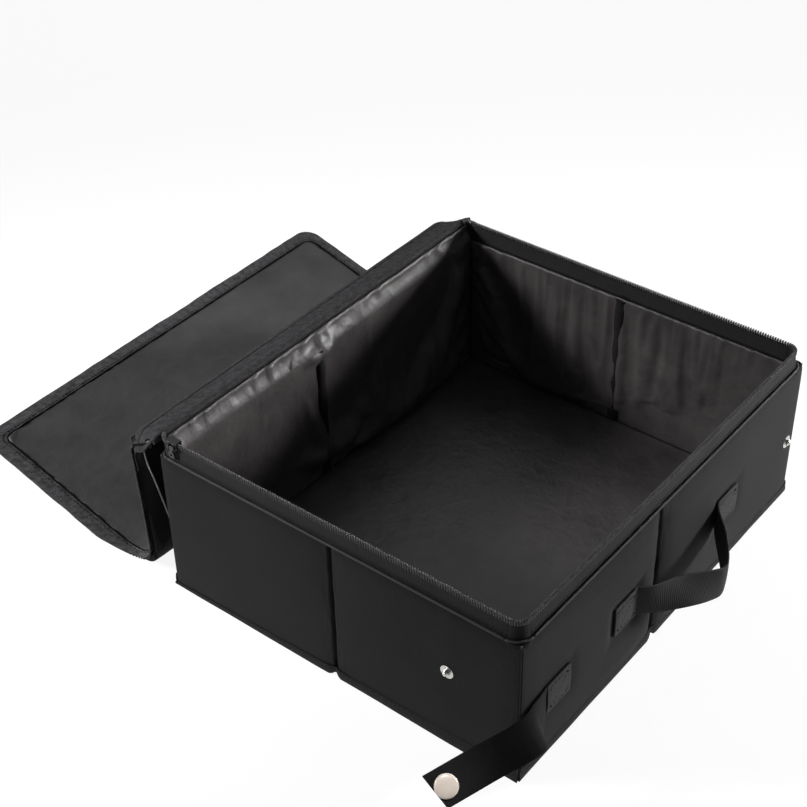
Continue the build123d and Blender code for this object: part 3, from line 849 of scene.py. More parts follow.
def round_corner(side_x, side_y, radius, first, last):
    """A path round a corner of the tub, from one angle to another, counted from +X."""
    toward_middle = Vector((-math.copysign(radius, side_x), -math.copysign(radius, side_y), 0))
    centre = Vector((side_x, side_y, 0)) + toward_middle

    def at(share):
        angle = math.radians(first + (last - first) * share)
        outward = Vector((math.cos(angle), math.sin(angle), 0))
        return centre + outward * radius, Vector((-outward.y, outward.x, 0)), outward
    return at, radius * math.radians(abs(last - first))


tape_foot_out, tape_head_out = -2.6 * mm, -3.7 * mm
hinge_foot_out, hinge_head_out = -1.4 * mm, 0.1 * mm
rim_outs = (tape_foot_out, tape_head_out)
hinge_outs = (hinge_foot_out, hinge_head_out)
tape_thickness = 1.0 * mm


def band(name, path, low, high, outs, material, body, slot, *nodes, wave=0.35 * mm, rows=None,
         last_outs=None):
    """A strip of woven tape on edge along a path, with a slight wave."""
    at, length = path
    last_outs = last_outs or outs
    steps = rows or max(6, int(length / (3 * mm)))

    def lay(up_share, share):
        place, _, outward = at(share)
        first = outs[0] + (outs[1] - outs[0]) * up_share
        last = last_outs[0] + (last_outs[1] - last_outs[0]) * up_share
        up = low + (high - low) * up_share
        sway = wave * ripple(Vector((place.x, place.y, up * 0.3)), 22 * mm, 1.0) * up_share
        return place + outward * (first + (last - first) * share + sway) + Vector((0, 0, up))

    bm = quilt(high - low, length, 6, steps, lay)
    turned_to(bm, at(0.5)[2])
    piece = round_edges(thicken(to_object(bm, name, material), tape_thickness, 0.0), 0.35 * mm, 2)
    belongs(piece, body, slot, *nodes)
    max(high - low, 10 * mm)
    max(length, 10 * mm)
    (high - low) * length


# %% [markdown]
# Hundreds of teeth and stitches are the same small rounded block, over and over.
# Each is a cube placed by a matrix made of three directions. One bevel at the end rounds them all,
# which is far quicker than a bevel for each, and leaves only 26 faces on a tooth.


# %% Rows of small blocks
def blocks(name, places, size, round_off, material, body, slot, *nodes):
    """A rounded block at each of the places, which say where it is, how it runs and the way up."""
    bm = bmesh.new()
    for place, run, up in places:
        side = up.cross(run).normalized()
        turn = Matrix((run.normalized(), side, up.normalized())).transposed().to_4x4()
        turn.translation = place
        bmesh.ops.create_cube(bm, size=1, matrix=turn @ Matrix.Diagonal((*size, 1)))
    bmesh.ops.bevel(bm, geom=bm.edges[:], offset=round_off, offset_type="OFFSET", segments=1, profile=0.5,
                    affect="EDGES", material=-1)
    belongs(to_object(bm, name, material), body, slot, *nodes)


def row_of(name, at, length, pitch, size, round_off, material, body, slot, *nodes):
    """Blocks evenly spaced along a line, where at(share) gives each one's place, run and way up."""
    count = max(2, int(length / pitch))
    places = [at((index + 0.5) / count) for index in range(count)]
    blocks(name, places, size, round_off, material, body, slot, *nodes)


tooth_pitch = 2.0 * mm
tooth_size = (1.2 * mm, 2.4 * mm, teeth_z - tape_z + 1.0 * mm)
stitch_pitch = 3.4 * mm
stitch_size = (2.3 * mm, 0.55 * mm, 0.42 * mm)
stitch_round = 0.16 * mm


def stitched(name, at, length, body, slot):
    row_of(name, at, length, stitch_pitch, stitch_size, stitch_round, thread, body, slot)


def rim_teeth(name, path, outs, body, *nodes, last_out=None):
    """The coil along the top of a stretch of rim tape."""
    at, length = path
    last_out = outs[1] if last_out is None else last_out
    coil_z = (tape_z + teeth_z) / 2 - 0.7 * mm

    def on_edge(share):
        place, run, outward = at(share)
        out = outs[1] + (last_out - outs[1]) * share
        return place + outward * out + Vector((0, 0, coil_z)), run, upward

    row_of(name, on_edge, length, tooth_pitch, tooth_size, 0.38 * mm, coil_nylon, body, "zip_teeth", *nodes)


# %% [markdown]
# The front and back walls fold in the middle, and their tape and teeth run on across the fold in
# one piece. Three corners of the rim sit on a joint as well, and the tape goes round them in one soft curve.
# At the fourth corner, between the handle's wall and the back, the frame is open: there each
# wall keeps half of the curve, and the halves only touch.

# %% Rim tape and teeth
near_round = 12 * mm
lid_round = 8 * mm
tape_bend = 5 * mm
tape_tuck = 2.4 * mm
front_run = straight("front", hinge_x + lid_round, handle_x - near_round)
back_run = straight("back", hinge_x + lid_round, handle_x - near_round)
handle_run = straight("handle", front_y + near_round, back_y - near_round)
hinge_run = straight("hinge", front_y + lid_round, back_y - lid_round)
front_blend, back_blend = folding("front", tape_bend), folding("back", tape_bend)

for name, run, body, tape_nodes, teeth_nodes in (
    ("front", front_run, front_blend, halves("front", "rim_tape"), halves("front", "zip_teeth")),
    ("back", back_run, back_blend, halves("back", "rim_tape"), halves("back", "zip_teeth")),
    ("handle", handle_run, "handle_wall", ("handle_wall_rim_tape",), ("handle_wall_zip_teeth",)),
):
    band(name + "_rim_tape", run, rim_z - tape_tuck, tape_z, rim_outs, zip_cloth, body, "zip_tape",
         *tape_nodes)
    rim_teeth(name + "_teeth", run, rim_outs, body, *teeth_nodes)
band("hinge_rim_tape", hinge_run, rim_z, tape_z, hinge_outs, zip_cloth, "tub", "zip_tape", "hinge_wall_tape")

corners = {
    "near": (handle_x, front_y, -90, 0, ("front_right", "handle_wall")),
    "lid_near": (hinge_x, front_y, 180, 270, ("tub", "front_left")),
    "lid_far": (hinge_x, back_y, 180, 90, ("tub", "back_left")),
    "handle_far": (handle_x, back_y, 0, 44, "handle_wall"),
    "back_far": (handle_x, back_y, 90, 46, "back_right"),
}


def corner_body(path, bodies):
    """One wall's body for half a corner; for a whole corner, the two walls' bodies and its two ends, where it
    would bend.
    """
    at, _ = path
    return bodies if isinstance(bodies, str) else (*bodies, at(0)[0], at(1)[0])


corner_pieces = []
for name, (x, y, first, last, bodies) in corners.items():
    radius, outs = (lid_round, hinge_outs) if name.startswith("lid") else (near_round, rim_outs)
    path = round_corner(x, y, radius, first, last)
    body = corner_body(path, bodies)
    band(name + "_corner_tape", path, rim_z, tape_z, outs, zip_cloth, body, "zip_tape", wave=0.1 * mm,
         rows=10, last_outs=rim_outs)
    rim_teeth(name + "_corner_teeth", path, outs, body, last_out=rim_outs[1])
    corner_pieces.append((name + "_corner", path, body, 12))

# %% [markdown]
# Where the sleeve ends, its cloth is turned over and sewn to the zip tape. From a step away this is
# a thin rounded edge that catches the light all along the top of the walls, and down the corners.
# It is modelled as a roll of cloth: a grid closed into a tube, laid along the same paths. Its cloth
# is painted much lighter than the outer cloth: a painted highlight for the light that the edge catches.


# %% Rolled seams
def rolled(name, at, length, radius, material, body, slot, steps=None):
    """A thin roll of cloth: at(share) gives its middle, its run and one direction across it."""
    rows = steps or max(8, int(length / (3.5 * mm)))

    def lay(turn_share, share):
        place, run, across = at(share)
        other = run.cross(across).normalized()
        turn = turn_share * 2 * math.pi
        uneven = radius * (1 + 0.12 * ripple(place, 6 * mm, 3.0))
        return place + across * (uneven * math.cos(turn)) + other * (uneven * math.sin(turn))

    bm = quilt(2 * math.pi * radius, length, 8, rows, lay, ring=True)
    belongs(to_object(bm, name, material), body, slot)


roll_radius = 0.95 * mm
roll_out = -0.5 * mm


for name, (at, length), body, steps in (("front", front_run, front_blend, None),
                                        ("back", back_run, back_blend, None),
                                        ("handle", handle_run, "handle_wall", None),
                                        ("hinge", hinge_run, "tub", None), *corner_pieces):
    def middle(share, at=at):
        place, run, outward = at(share)
        return place + outward * roll_out + Vector((0, 0, rim_z + 0.2 * mm)), run, outward

    rolled(name + "_top_seam", middle, length, roll_radius, seam_highlight_cloth, body, "outer_cloth", steps)

# %% [markdown]
# The covers of two walls meet at a corner in one turned seam. On the fold it has to open like a
# book's spine, so the cloth that goes round the corner is its own strip, with a welt standing out
# where the two covers are sewn together.

# %% Corner cloth
corner_round = 5.5 * mm
corner_leg = 7 * mm
corner_lift = 0.25 * mm


def corner_cloth(name, side_x, side_y, first, last, bodies):
    """Cloth round a vertical edge of the tub, from foot to rim, with a short leg on each wall."""
    arc, arc_length = round_corner(side_x, side_y, corner_round, first, last)
    whole = not isinstance(bodies, str)
    length = arc_length + (2 if whole else 1) * corner_leg
    low, high = foot_z, rim_z

    def lay(up_share, share):
        go = share * length
        if go < corner_leg:
            place, run, outward = arc(0)
            place = place - run * math.copysign(corner_leg - go, last - first)
        elif go > corner_leg + arc_length:
            place, run, outward = arc(1)
            place = place + run * math.copysign(go - corner_leg - arc_length, last - first)
        else:
            place, run, outward = arc((go - corner_leg) / arc_length)
        up = low + (high - low) * up_share
        edge = min(share, 1 - share) if whole else share
        lift = corner_lift * min(1.0, edge * 8) - 0.5 * mm * bell(edge, 0.05)
        creased = 0.35 * mm * ripple(Vector((place.x * 2, place.y * 2, up * 0.4)), 9 * mm, 6.0)
        return place + outward * (lift + creased) + Vector((0, 0, up))

    bm = turned_to(quilt(high - low, length, 34, 22, lay), Vector((side_x, side_y, 0)))
    piece = thicken(to_object(bm, name, outer_cloth), 0.6 * mm)
    belongs(piece, corner_body((arc, arc_length), bodies), "outer_cloth")


for name, corner in corners.items():
    corner_cloth(name + "_corner_cloth", *corner)

welt_radius = 0.85 * mm
welt_bodies = {"near": "handle_wall", "lid_near": "tub", "lid_far": "tub", "handle_far": "handle_wall"}
for name, body in welt_bodies.items():
    x, y = corners[name][:2]
    diagonal = Vector((math.copysign(1, x), math.copysign(1, y), 0)).normalized()
    inset = corner_round * (math.sqrt(2) - 1) - 0.2 * mm
    post = Vector((x, y, 0)) - diagonal * inset

    def up_the_corner(share, post=post, diagonal=diagonal):
        return post + Vector((0, 0, foot_z + share * (rim_z - foot_z))), upward, diagonal

    rolled(name + "_welt", up_the_corner, rim_z - foot_z, welt_radius, seam_highlight_cloth, body, "outer_cloth")

# %% [markdown]
# Along the foot the covers and the base are bound together in a tape ten millimetres high, with a
# row of stitches near its top. It stands a little outside the walls, and it has a notch at the fold
# lines, because a stiff edge there would stop the folding.

# %% Foot binding and stitches
binding_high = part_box("front_left_binding")[1].z
binding_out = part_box("back_left_binding")[1].y - back_y
notch_rise = 3.5 * mm
binding_tops = {"front": (3, 13), "back": (5, 9), "handle": (10, 6.5), "hinge": (9, 9)}


def binding_top(side, share):
    """The binding shows more of itself at one end of a wall than at the other."""
    first, last = binding_tops[side]
    return (first + (last - first) * share) * mm


def foot_binding(side, half, notch_at, body, *nodes):
    low = foot_z if side != "hinge" else 0.05 * mm

    def lay(up_share, share):
        along = (share * 2 - 1) * half
        notch = bell(along - notch_at, 2.4 * mm) if notch_at is not None else 0
        bottom = low + notch_rise * notch
        up = bottom + (binding_top(side, share) - bottom) * up_share
        wave = 0.5 * mm * ripple(Vector((along, 0, 0)), 30 * mm, 8.0) * (1 - up_share)
        roll = 0.5 * mm * bell(up_share - 0.42, 0.3)
        return on_wall(side, along, binding_out - 0.5 * mm + wave + roll - 1.6 * mm * notch, up)

    bm = turned_to(quilt(binding_high - low, 2 * half, 6, 120, lay), walls[side][2])
    piece = round_edges(thicken(to_object(bm, side + "_foot_binding", binding_cloth), 1.0 * mm), 0.4 * mm, 2)
    belongs(piece, body, "binding", *nodes)
    2 * half


def wall_row(side, half, out, up):
    """A row that runs along a wall, for stitches. Its height is a number or depends on the share."""
    def at(share):
        along = (share * 2 - 1) * half
        return on_wall(side, along, out, up(share) if callable(up) else up), walls[side][1], walls[side][2]
    return at


front_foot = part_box("front_right_binding")[1].x
side_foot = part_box("handle_wall_binding")[1].y
foot_round = 4 * mm
foot_outs = (binding_out - 0.7 * mm, binding_out - 0.7 * mm)
for name, high in (("near", 12 * mm), ("lid_far", 7 * mm)):
    x, y, first, last, bodies = corners[name]
    path = round_corner(x, y, foot_round, first, last)
    band(name + "_foot_corner", path, foot_z, high, foot_outs, binding_cloth, corner_body(path, bodies),
         "binding", wave=0.0, rows=10)
binding_rows = {side: (lambda share, side=side: binding_top(side, share) - 1.7 * mm) for side in walls}
for side, half, notch_at, body, nodes in (
    ("front", front_foot, front_crease_x, front_blend, halves("front", "binding")),
    ("back", front_foot, front_crease_x, back_blend, halves("back", "binding")),
    ("handle", side_foot, side_crease_y, "handle_wall", ("handle_wall_binding",)),
    ("hinge", side_foot, None, "tub", ("hinge_wall_binding",)),
):
    foot_binding(side, half, notch_at, body, *nodes)
    foot_row = wall_row(side, half - 2 * mm, binding_out - 0.25 * mm, binding_rows[side])
    stitched(side + "_foot_stitches", foot_row, 2 * half, body, "binding")
    tape_half = half - near_round
    stitch_out = (-2.2 if side != "hinge" else -0.9) * mm
    rim_row = wall_row(side, tape_half, stitch_out, rim_z + 2.4 * mm)
    stitched(side + "_rim_stitches", rim_row, 2 * tape_half, body, "zip_tape")

# %% [markdown]
# The lid is one long board pocket folded near its middle: the inner leaf hangs down behind the
# wall and the outer leaf slopes up from the ground. Both leaves lie in planes, so a place on the lid
# is a distance along a leaf, a distance across the tub and a height over the lining.

# %% The lid's two leaves
inner_low, inner_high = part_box("lid_inner_lining")
outer_low, outer_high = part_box("lid_outer_lining")
inner_turn, outer_turn = math.radians(-87.31), math.radians(164)
inner_run = Vector((math.cos(inner_turn), 0, math.sin(inner_turn)))
inner_out = Vector((inner_run.z, 0, -inner_run.x))
outer_run = Vector((math.cos(outer_turn), 0, math.sin(outer_turn)))
outer_out = Vector((outer_run.z, 0, -outer_run.x))
lid_half = inner_high.y
inner_root = Vector((inner_low.x, 0, inner_high.z))
inner_length = (inner_high.z - inner_low.z) / -inner_run.z
outer_root = Vector((outer_high.x, 0, outer_low.z)) + outer_out * (1.0 * mm)
outer_length = (outer_high.x - outer_low.x) / -outer_run.x
leaves = {"inner": (inner_root, inner_run, inner_out), "outer": (outer_root, outer_run, outer_out)}
lid_corner_round = 8 * mm
print("leaves", round(inner_length, 3), round(outer_length, 3), "across", round(2 * lid_half, 3))


def on_leaf(leaf, along, across, out):
    root, run, outward = leaves[leaf]
    return root + run * along + outward * out + Vector((0, across, 0))


def crossing(out):
    """Where the two leaves' planes meet, at a height over the lining."""
    a, b = on_leaf("inner", 0, 0, out), on_leaf("outer", 0, 0, out)
    across = inner_run.x * outer_run.z - inner_run.z * outer_run.x
    gap = b - a
    return a + inner_run * ((gap.x * outer_run.z - gap.z * outer_run.x) / across)


fold_reach = 28 * mm
fold_bend = 1.45


def lid_profile(share, out):
    """A point down the inner leaf, round the fold and up the outer leaf, and the way out there."""
    corner = crossing(out)
    top, far = on_leaf("inner", 0.5 * mm, 0, out), on_leaf("outer", outer_length, 0, out)
    down, up = (corner - top).length - fold_reach, (far - corner).length - fold_reach
    bend = fold_bend * fold_reach
    go = share * (down + bend + up)
    if go < down:
        return top + inner_run * go, inner_out
    if go > down + bend:
        return corner + outer_run * (fold_reach + go - down - bend), outer_out
    part = (go - down) / bend
    first, last = corner - inner_run * fold_reach, corner + outer_run * fold_reach
    place = first * (1 - part) ** 2 + corner * (2 * part * (1 - part)) + last * part ** 2
    return place, (inner_out * (1 - part) + outer_out * part).normalized()


lid_long = ((crossing(0) - on_leaf("inner", 0.5 * mm, 0, 0)).length - (2 - fold_bend) * fold_reach
            + (on_leaf("outer", outer_length, 0, 0) - crossing(0)).length)
fold_blend = ("lid_inner", "lid_outer", crossing(0) - inner_run * fold_reach,
              crossing(0) + outer_run * fold_reach)


def lid_width(share):
    """Half the lid's width, which the far corners' rounding narrows."""
    left = (1 - share) * lid_long
    if left >= lid_corner_round:
        return lid_half
    return lid_half - (lid_corner_round - math.sqrt(lid_corner_round ** 2 - (lid_corner_round - left) ** 2))


# %% [markdown]
# The lid's lining shows most of all: a loose, faintly glossy sheet that is gathered at its border
# and buckles in soft diagonal hollows. It is simulated like the wall linings, as one sheet over both
# leaves, so it has no gap at the fold. The sleeve underneath is stiffer and only crowned.

# %% Lid lining and sleeve
lid_columns, lid_rows = 100, 96
lid_grid = (2 * lid_half, lid_long, lid_columns, lid_rows)
hollow_high, gather_high, lid_fold_limit = 1.6 * mm, 0.9 * mm, 4.5 * mm


def lay_lid_flat(across, share):
    place, _ = lid_profile(share, 0.0)
    return place + Vector((0, (across * 2 - 1) * lid_width(share), 0))


def across_lid(across, share):
    """How far across the tub a point of the lid is, and how far from the lid's edge."""
    half = lid_width(share)
    y = (across * 2 - 1) * half
    return y, min(half - abs(y), (1 - share) * lid_long, share * lid_long)


def lay_lid_lining(across, share):
    place, outward = lid_profile(share, 0.0)
    y, from_edge = across_lid(across, share)
    inside = min(1.0, from_edge / (22 * mm))
    hollow = ripple(Vector((y * 0.7, share * lid_long, 0)), 52 * mm, 21.0)
    gather = ripple(Vector((y, share * lid_long * 1.2, 0)), 11 * mm, 23.0) * bell(from_edge - 6 * mm, 9 * mm)
    height = hollow_high * (hollow + 0.5) * inside + gather_high * gather
    return place + outward * max(height, 0.0) + Vector((0, y, 0))


lid_base = flat_places(*lid_grid, lay_lid_flat)
lid_out = [lid_profile((place // (lid_columns + 1)) / lid_rows, 0.0)[1] for place in range(len(lid_base))]
lid_bm = turned_to(quilt(*lid_grid, lay_lid_lining), outer_out)
lid_sheet = to_object(lid_bm, "lid_lining_cloth", lid_lining_cloth)
settle(lid_sheet, border_points(lid_columns, lid_rows), 0.012, 0.25, 0.5, 12)
cap(lid_sheet, lid_base, lid_out, lid_fold_limit)
thicken(lid_sheet, lining_thickness)
belongs(lid_sheet, fold_blend, "lining", "lid_inner_lining", "lid_outer_lining")

sleeve_top_out, sleeve_bottom_out = -0.7 * mm, -5.3 * mm


def lay_lid_sleeve(across, share):
    place, outward = lid_profile(share, sleeve_bottom_out)
    y, from_edge = across_lid(across, share)
    crown = 0.9 * mm * min(1.0, from_edge / (20 * mm))
    slack = 0.5 * mm * ripple(Vector((y, share * lid_long, 0)), 36 * mm, 27.0)
    return place - outward * (crown + slack * min(1.0, from_edge / (8 * mm))) + Vector((0, y, 0))


sleeve_bm = turned_to(quilt(2 * lid_half, lid_long, 90, 90, lay_lid_sleeve), -outer_out)
lid_sleeve = to_object(sleeve_bm, "lid_sleeve_cloth", lid_cloth)
thicken(lid_sleeve, sleeve_top_out - sleeve_bottom_out)
round_edges(lid_sleeve, 1.2 * mm)
belongs(lid_sleeve, fold_blend, "outer_cloth", "lid_inner_cover", "lid_outer_cover")

# %% [markdown]
# The lid's boards end well before the fold, so that it can hang in a soft bend. They are hidden in
# the sleeve, and two plain slabs with rounded edges stand for them.

# %% The lid's boards
board_half = lid_half - 6 * mm
board_out = -2.2 * mm
board_thickness = 1.6 * mm
for leaf, first, last in (("inner", 6 * mm, inner_length - fold_reach),
                          ("outer", fold_reach, outer_length - 5 * mm)):
    def lay_board(across, share, leaf=leaf, first=first, last=last):
        return on_leaf(leaf, first + (last - first) * share, (across * 2 - 1) * board_half, board_out)

    bm = turned_to(quilt(2 * board_half, last - first, 12, 6, lay_board), leaves[leaf][2])
    board = thicken(to_object(bm, "lid_" + leaf + "_stiffener", board_grey), board_thickness)
    round_edges(board, 0.4 * mm, 2)
    belongs(board, "lid_" + leaf, "board", "lid_" + leaf + "_board")

# %% [markdown]
# The other half of the zip runs round the lid as a border of brushed tape, about twelve millimetres
# wide. Open, it lies nearly flat round the lid like a picture frame, and droops a little. It starts
# narrow on the inner leaf, goes round the fold in one piece, and has a small round at each far corner.

# %% The lid's border
border_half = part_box("lid_zip_tape")[1].y - 0.5 * mm
border_start = 7 * mm
fold_place = (crossing(0) - on_leaf("inner", 0, 0, 0)).length
corner_stretch = 20 * mm
side_stretch = lid_long - border_start - corner_stretch / 2
far_stretch = 2 * lid_half - corner_stretch
border_length = 2 * side_stretch + 2 * corner_stretch + far_stretch


def border_edge(share, grow, near_turn, far_turn):
    """A line round the lid, grown outward by some way, in flat measures: along it and across it."""
    half, end = lid_half + grow, lid_long + grow
    go = share * border_length
    if go <= side_stretch:
        return border_start + (end - near_turn - border_start) * go / side_stretch, -half
    go -= side_stretch
    if go <= corner_stretch:
        angle = go / corner_stretch * math.pi / 2
        return end - near_turn * (1 - math.sin(angle)), -half + near_turn * (1 - math.cos(angle))
    go -= corner_stretch
    if go <= far_stretch:
        return end, -half + near_turn + (2 * half - near_turn - far_turn) * go / far_stretch
    go -= far_stretch
    if go <= corner_stretch:
        angle = go / corner_stretch * math.pi / 2
        return end - far_turn * (1 - math.cos(angle)), half - far_turn * (1 - math.sin(angle))
    go -= corner_stretch
    return end - far_turn - (end - far_turn - border_start) * go / side_stretch, half


def on_lid(along, across, out):
    """A point over the lid in its flat measures, where it may lie past the edge of the leaf."""
    place, outward = lid_profile(along / lid_long, out)
    return place + Vector((0, across, 0)), outward


def border_width(share):
    """Narrow on the inner leaf, full past the fold."""
    along, _ = border_edge(share, 0, 8 * mm, 8 * mm)
    past = min(max((along - fold_place + 6 * mm) / (34 * mm), 0.0), 1.0)
    return (3.5 + 8.5 * past * past * (3 - 2 * past)) * mm


def border_point(share, reach, lift=0.0):
    """A point on the border: its share of the way round, and 0 at the seam to 1 at the free edge."""
    inner = border_edge(share, -1.6 * mm, 6 * mm, 8 * mm)
    outer = border_edge(share, border_width(share), 8 * mm, 15 * mm)
    along, across = (first + (last - first) * reach for first, last in zip(inner, outer))
    middle = math.sin(math.pi * min(reach + 0.15, 1.0))
    crumple = ripple(Vector((along * 1.6, across * 1.6, 0)), 12 * mm, 31.0) * middle
    gather = ripple(Vector((along, across, 0)), 5 * mm, 33.0) * bell(reach, 0.3)
    out = -0.2 * mm - 1.5 * mm * reach ** 1.5 + 0.8 * mm * crumple + 0.6 * mm * gather
    return on_lid(along, across, out + lift)


def lay_border(reach, share):
    place, _ = border_point(share, reach)
    wave = 0.8 * mm * ripple(place, 16 * mm, 2.0) * reach
    return place + (place - border_point(share, 0)[0]).normalized() * wave if reach > 0.5 else place


border_rows = 380
border_bm = turned_to(quilt(12 * mm, border_length, 10, border_rows, lay_border), outer_out)
border = to_object(border_bm, "lid_border_tape", border_cloth)
round_edges(thicken(border, 1.0 * mm), 0.35 * mm, 2)
belongs(border, fold_blend, "zip_tape", "lid_zip_tape")


def border_line(reach, lift):
    """A line along the border, for teeth, seams and stitches: place, run and the way up."""
    def at(share):
        share = min(max(share, 0.001), 0.999)
        place, outward = border_point(share, reach, lift)
        ahead, behind = (border_point(share + step, reach, lift)[0] for step in (0.001, -0.001))
        run = (ahead - behind).normalized()
        return place, run, (outward - run * outward.dot(run)).normalized()
    return at


edge_tooth = (1.2 * mm, 1.5 * mm, 0.9 * mm)
seam_reach, stitch_reach, tooth_reach = 0.1, 0.3, 0.84
# The border's teeth take the near-black copy of the coil: painted shade.
row_of("lid_border_teeth", border_line(tooth_reach, -1.2 * mm), border_length, tooth_pitch, edge_tooth,
       0.3 * mm, shaded_coil, fold_blend, "lid_zip_teeth", "lid_zip_teeth")
# The seam is rolled from the near-black cloth: a painted shadow line between border and lining.
rolled("lid_border_seam", border_line(seam_reach, 0.35 * mm), border_length, 0.65 * mm, painted_shade_cloth,
       fold_blend, "zip_tape", border_rows)
stitched("lid_border_stitches", border_line(stitch_reach, 0.12 * mm), border_length, fold_blend, "zip_tape")

# %% [markdown]
# Beside the inner leaf the zip can't lie flat: its tape is a loose flap that curves in between
# the lid and the wall, and its small silver teeth are the one bright line on the lid. The flap's
# cloth is near-black, far darker than the same tape on the rim: painted shade for the deep gap there.
# The flap's free edge is a curve through a few places, joined smoothly by a Catmull-Rom formula.


# %% Curves through places
def smooth_through(places, share):
    """A smooth curve through places, evenly spaced in share."""
    last = len(places) - 1
    go = min(max(share, 0.0), 1.0) * last
    index = min(int(go), last - 1)
    t = go - index
    before = places[max(index - 1, 0)]
    first, second = places[index], places[index + 1]
    after = places[min(index + 2, last)]
    return 0.5 * (2 * first + (second - before) * t + (2 * before - 5 * first + 4 * second - after) * t ** 2
                  + (3 * first - before - 3 * second + after) * t ** 3)


flap_edge = [Vector((x, 0, z)) * mm for x, z in (
    (-152, 130.5), (-160.5, 125.5), (-167, 115.5), (-167.5, 102.5), (-165, 88), (-163.5, 73), (-163, 59),
    (-163, 45), (-165, 30))]
flap_root_share, flap_root_reach = 0.04, 0.9
flap_tuck = 16 * mm
flap_width = 16 * mm
silver_tooth = (0.95 * mm, 1.3 * mm, 1.2 * mm)
flap_teeth_length = 120 * mm


def flap_places(share, reach):
    """A point between the leaf's edge and the flap's free edge."""
    root = on_leaf("inner", (flap_root_share + flap_root_reach * share) * inner_length, 0, -2.6 * mm)
    return root.lerp(smooth_through(flap_edge, share), reach)


def flap_tucked(share, reach, side_sign):
    """The flap's free edge turns in behind the wall towards its foot."""
    return Vector((0, side_sign * (border_half - flap_tuck * share ** 1.6 * reach), 0))


for name, side_sign in (("front", -1), ("back", 1)):
    body = "lid_flap_" + name

    def lay_flap(reach, share, side_sign=side_sign):
        ease = 0.6 * mm * math.sin(math.pi * reach) * ripple(Vector((share, reach, 0)), 0.35, 4.0)
        tucked = flap_tucked(share, reach, side_sign)
        return flap_places(share, reach) + tucked + Vector((0, side_sign * ease, 0))

    bm = turned_to(quilt(flap_width, inner_length, 8, 44, lay_flap), Vector((0, side_sign, 0)))
    flap = round_edges(thicken(to_object(bm, body + "_cloth", painted_shade_cloth), tape_thickness, 0.0), 0.35 * mm, 2)
    belongs(flap, body, "zip_tape", "lid_flap_" + name + "_tape")

    def flap_tooth(share, side_sign=side_sign):
        place, ahead, back = (flap_places(part, 1.0) + flap_tucked(part, 1.0, side_sign)
                              for part in (share, min(share + 0.01, 1.0), max(share - 0.01, 0.0)))
        run = (ahead - back).normalized()
        up = (place - flap_places(share, 0.5) - flap_tucked(share, 0.5, side_sign)).normalized()
        up = (up - run * up.dot(run)).normalized()
        return place + up * 0.5 * mm, run, up

    row_of(body + "_teeth", flap_tooth, flap_teeth_length, 1.75 * mm, silver_tooth, 0.25 * mm, silver_teeth,
           body, "lid_zip_teeth")

# %% [markdown]
# The lid hangs on a brushed strip of cloth that goes from the top of the wall's tape over to the
# inner leaf. It has two hinges, one at each edge, and a body of its own between them.
# So two pieces cover it: the strip, by the wall, and a knuckle, by the leaf.

# %% Lid strip and knuckle
strip_round = 15 * mm
strip_half = lid_half + 2.5 * mm
strip_depth, knuckle_depth = 31 * mm, 22 * mm
strip_low, strip_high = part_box("lid_hinge_strip")
strip_start = Vector((strip_high.x, 0, strip_high.z))
strip_end = Vector((strip_low.x, 0, strip_low.z + 1.4 * mm))
strip_profile = [Vector((hinge_x - hinge_head_out, 0, tape_z - 2.6 * mm)) + Vector((-0.2 * mm, 0, 0)),
                 Vector((hinge_x - 0.6 * mm, 0, tape_z + 1.0 * mm)),
                 strip_start + Vector((-2 * mm, 0, 0.7 * mm)),
                 strip_start.lerp(strip_end, 0.35) + Vector((0, 0, 1.3 * mm)),
                 strip_start.lerp(strip_end, 0.7) + Vector((0, 0, 1.5 * mm)),
                 strip_end + Vector((0, 0, 1.2 * mm))]
knuckle_profile = [strip_start.lerp(strip_end, 0.82) + Vector((0, 0, 1.9 * mm)),
                   strip_end + Vector((-0.6 * mm, 0, 1.3 * mm)),
                   on_leaf("inner", 1.5 * mm, 0, 1.6 * mm),
                   on_leaf("inner", 8 * mm, 0, 1.7 * mm),
                   on_leaf("inner", 15 * mm, 0, 0.9 * mm)]


def strip_cloth(name, profile, depth, rows, body, *nodes):
    def lay(across, share):
        y = (across * 2 - 1) * strip_half
        place = smooth_through(profile, share)
        wave = 0.5 * mm * ripple(Vector((y, share * depth, 0)), 26 * mm, 14.0) * math.sin(math.pi * share)
        end = max(0.0, (abs(y) - strip_half + strip_round) / strip_round)
        drop = 1 - math.sqrt(max(0.0, 1 - end * end))
        far = min(1.0, (hinge_x - place.x) / (20 * mm))
        return place + Vector((strip_round * 0.4 * drop * far, y, wave - strip_round * 0.75 * drop * far))

    bm = turned_to(quilt(2 * strip_half, depth, 130, rows, lay), Vector((-0.3, 0, 1)))
    piece = round_edges(thicken(to_object(bm, name, brushed_cloth), 1.3 * mm), 0.5 * mm, 2)
    belongs(piece, body, "zip_tape", *nodes)


wall_bend = ("tub", "lid_strip", Vector((hinge_x - 0.3 * mm, 0, tape_z - 1 * mm)),
             strip_start + Vector((-4 * mm, 0, -1.5 * mm)))
leaf_bend = ("lid_strip", "lid_inner", strip_end + Vector((3 * mm, 0, 1 * mm)),
             on_leaf("inner", 4 * mm, 0, 0))
strip_cloth("lid_strip_cloth", strip_profile, strip_depth, 14, wall_bend, "lid_hinge_strip")
strip_cloth("lid_knuckle_cloth", knuckle_profile, knuckle_depth, 12, leaf_bend)

# %% [markdown]
# The carrying handle is a band of ribbed webbing, sewn flat to the wall at both ends and held off
# it in between, where it twists as it droops. Webbing doesn't stretch or crease like cloth, so it is
# modelled directly: stations give its middle line and which way its width points.


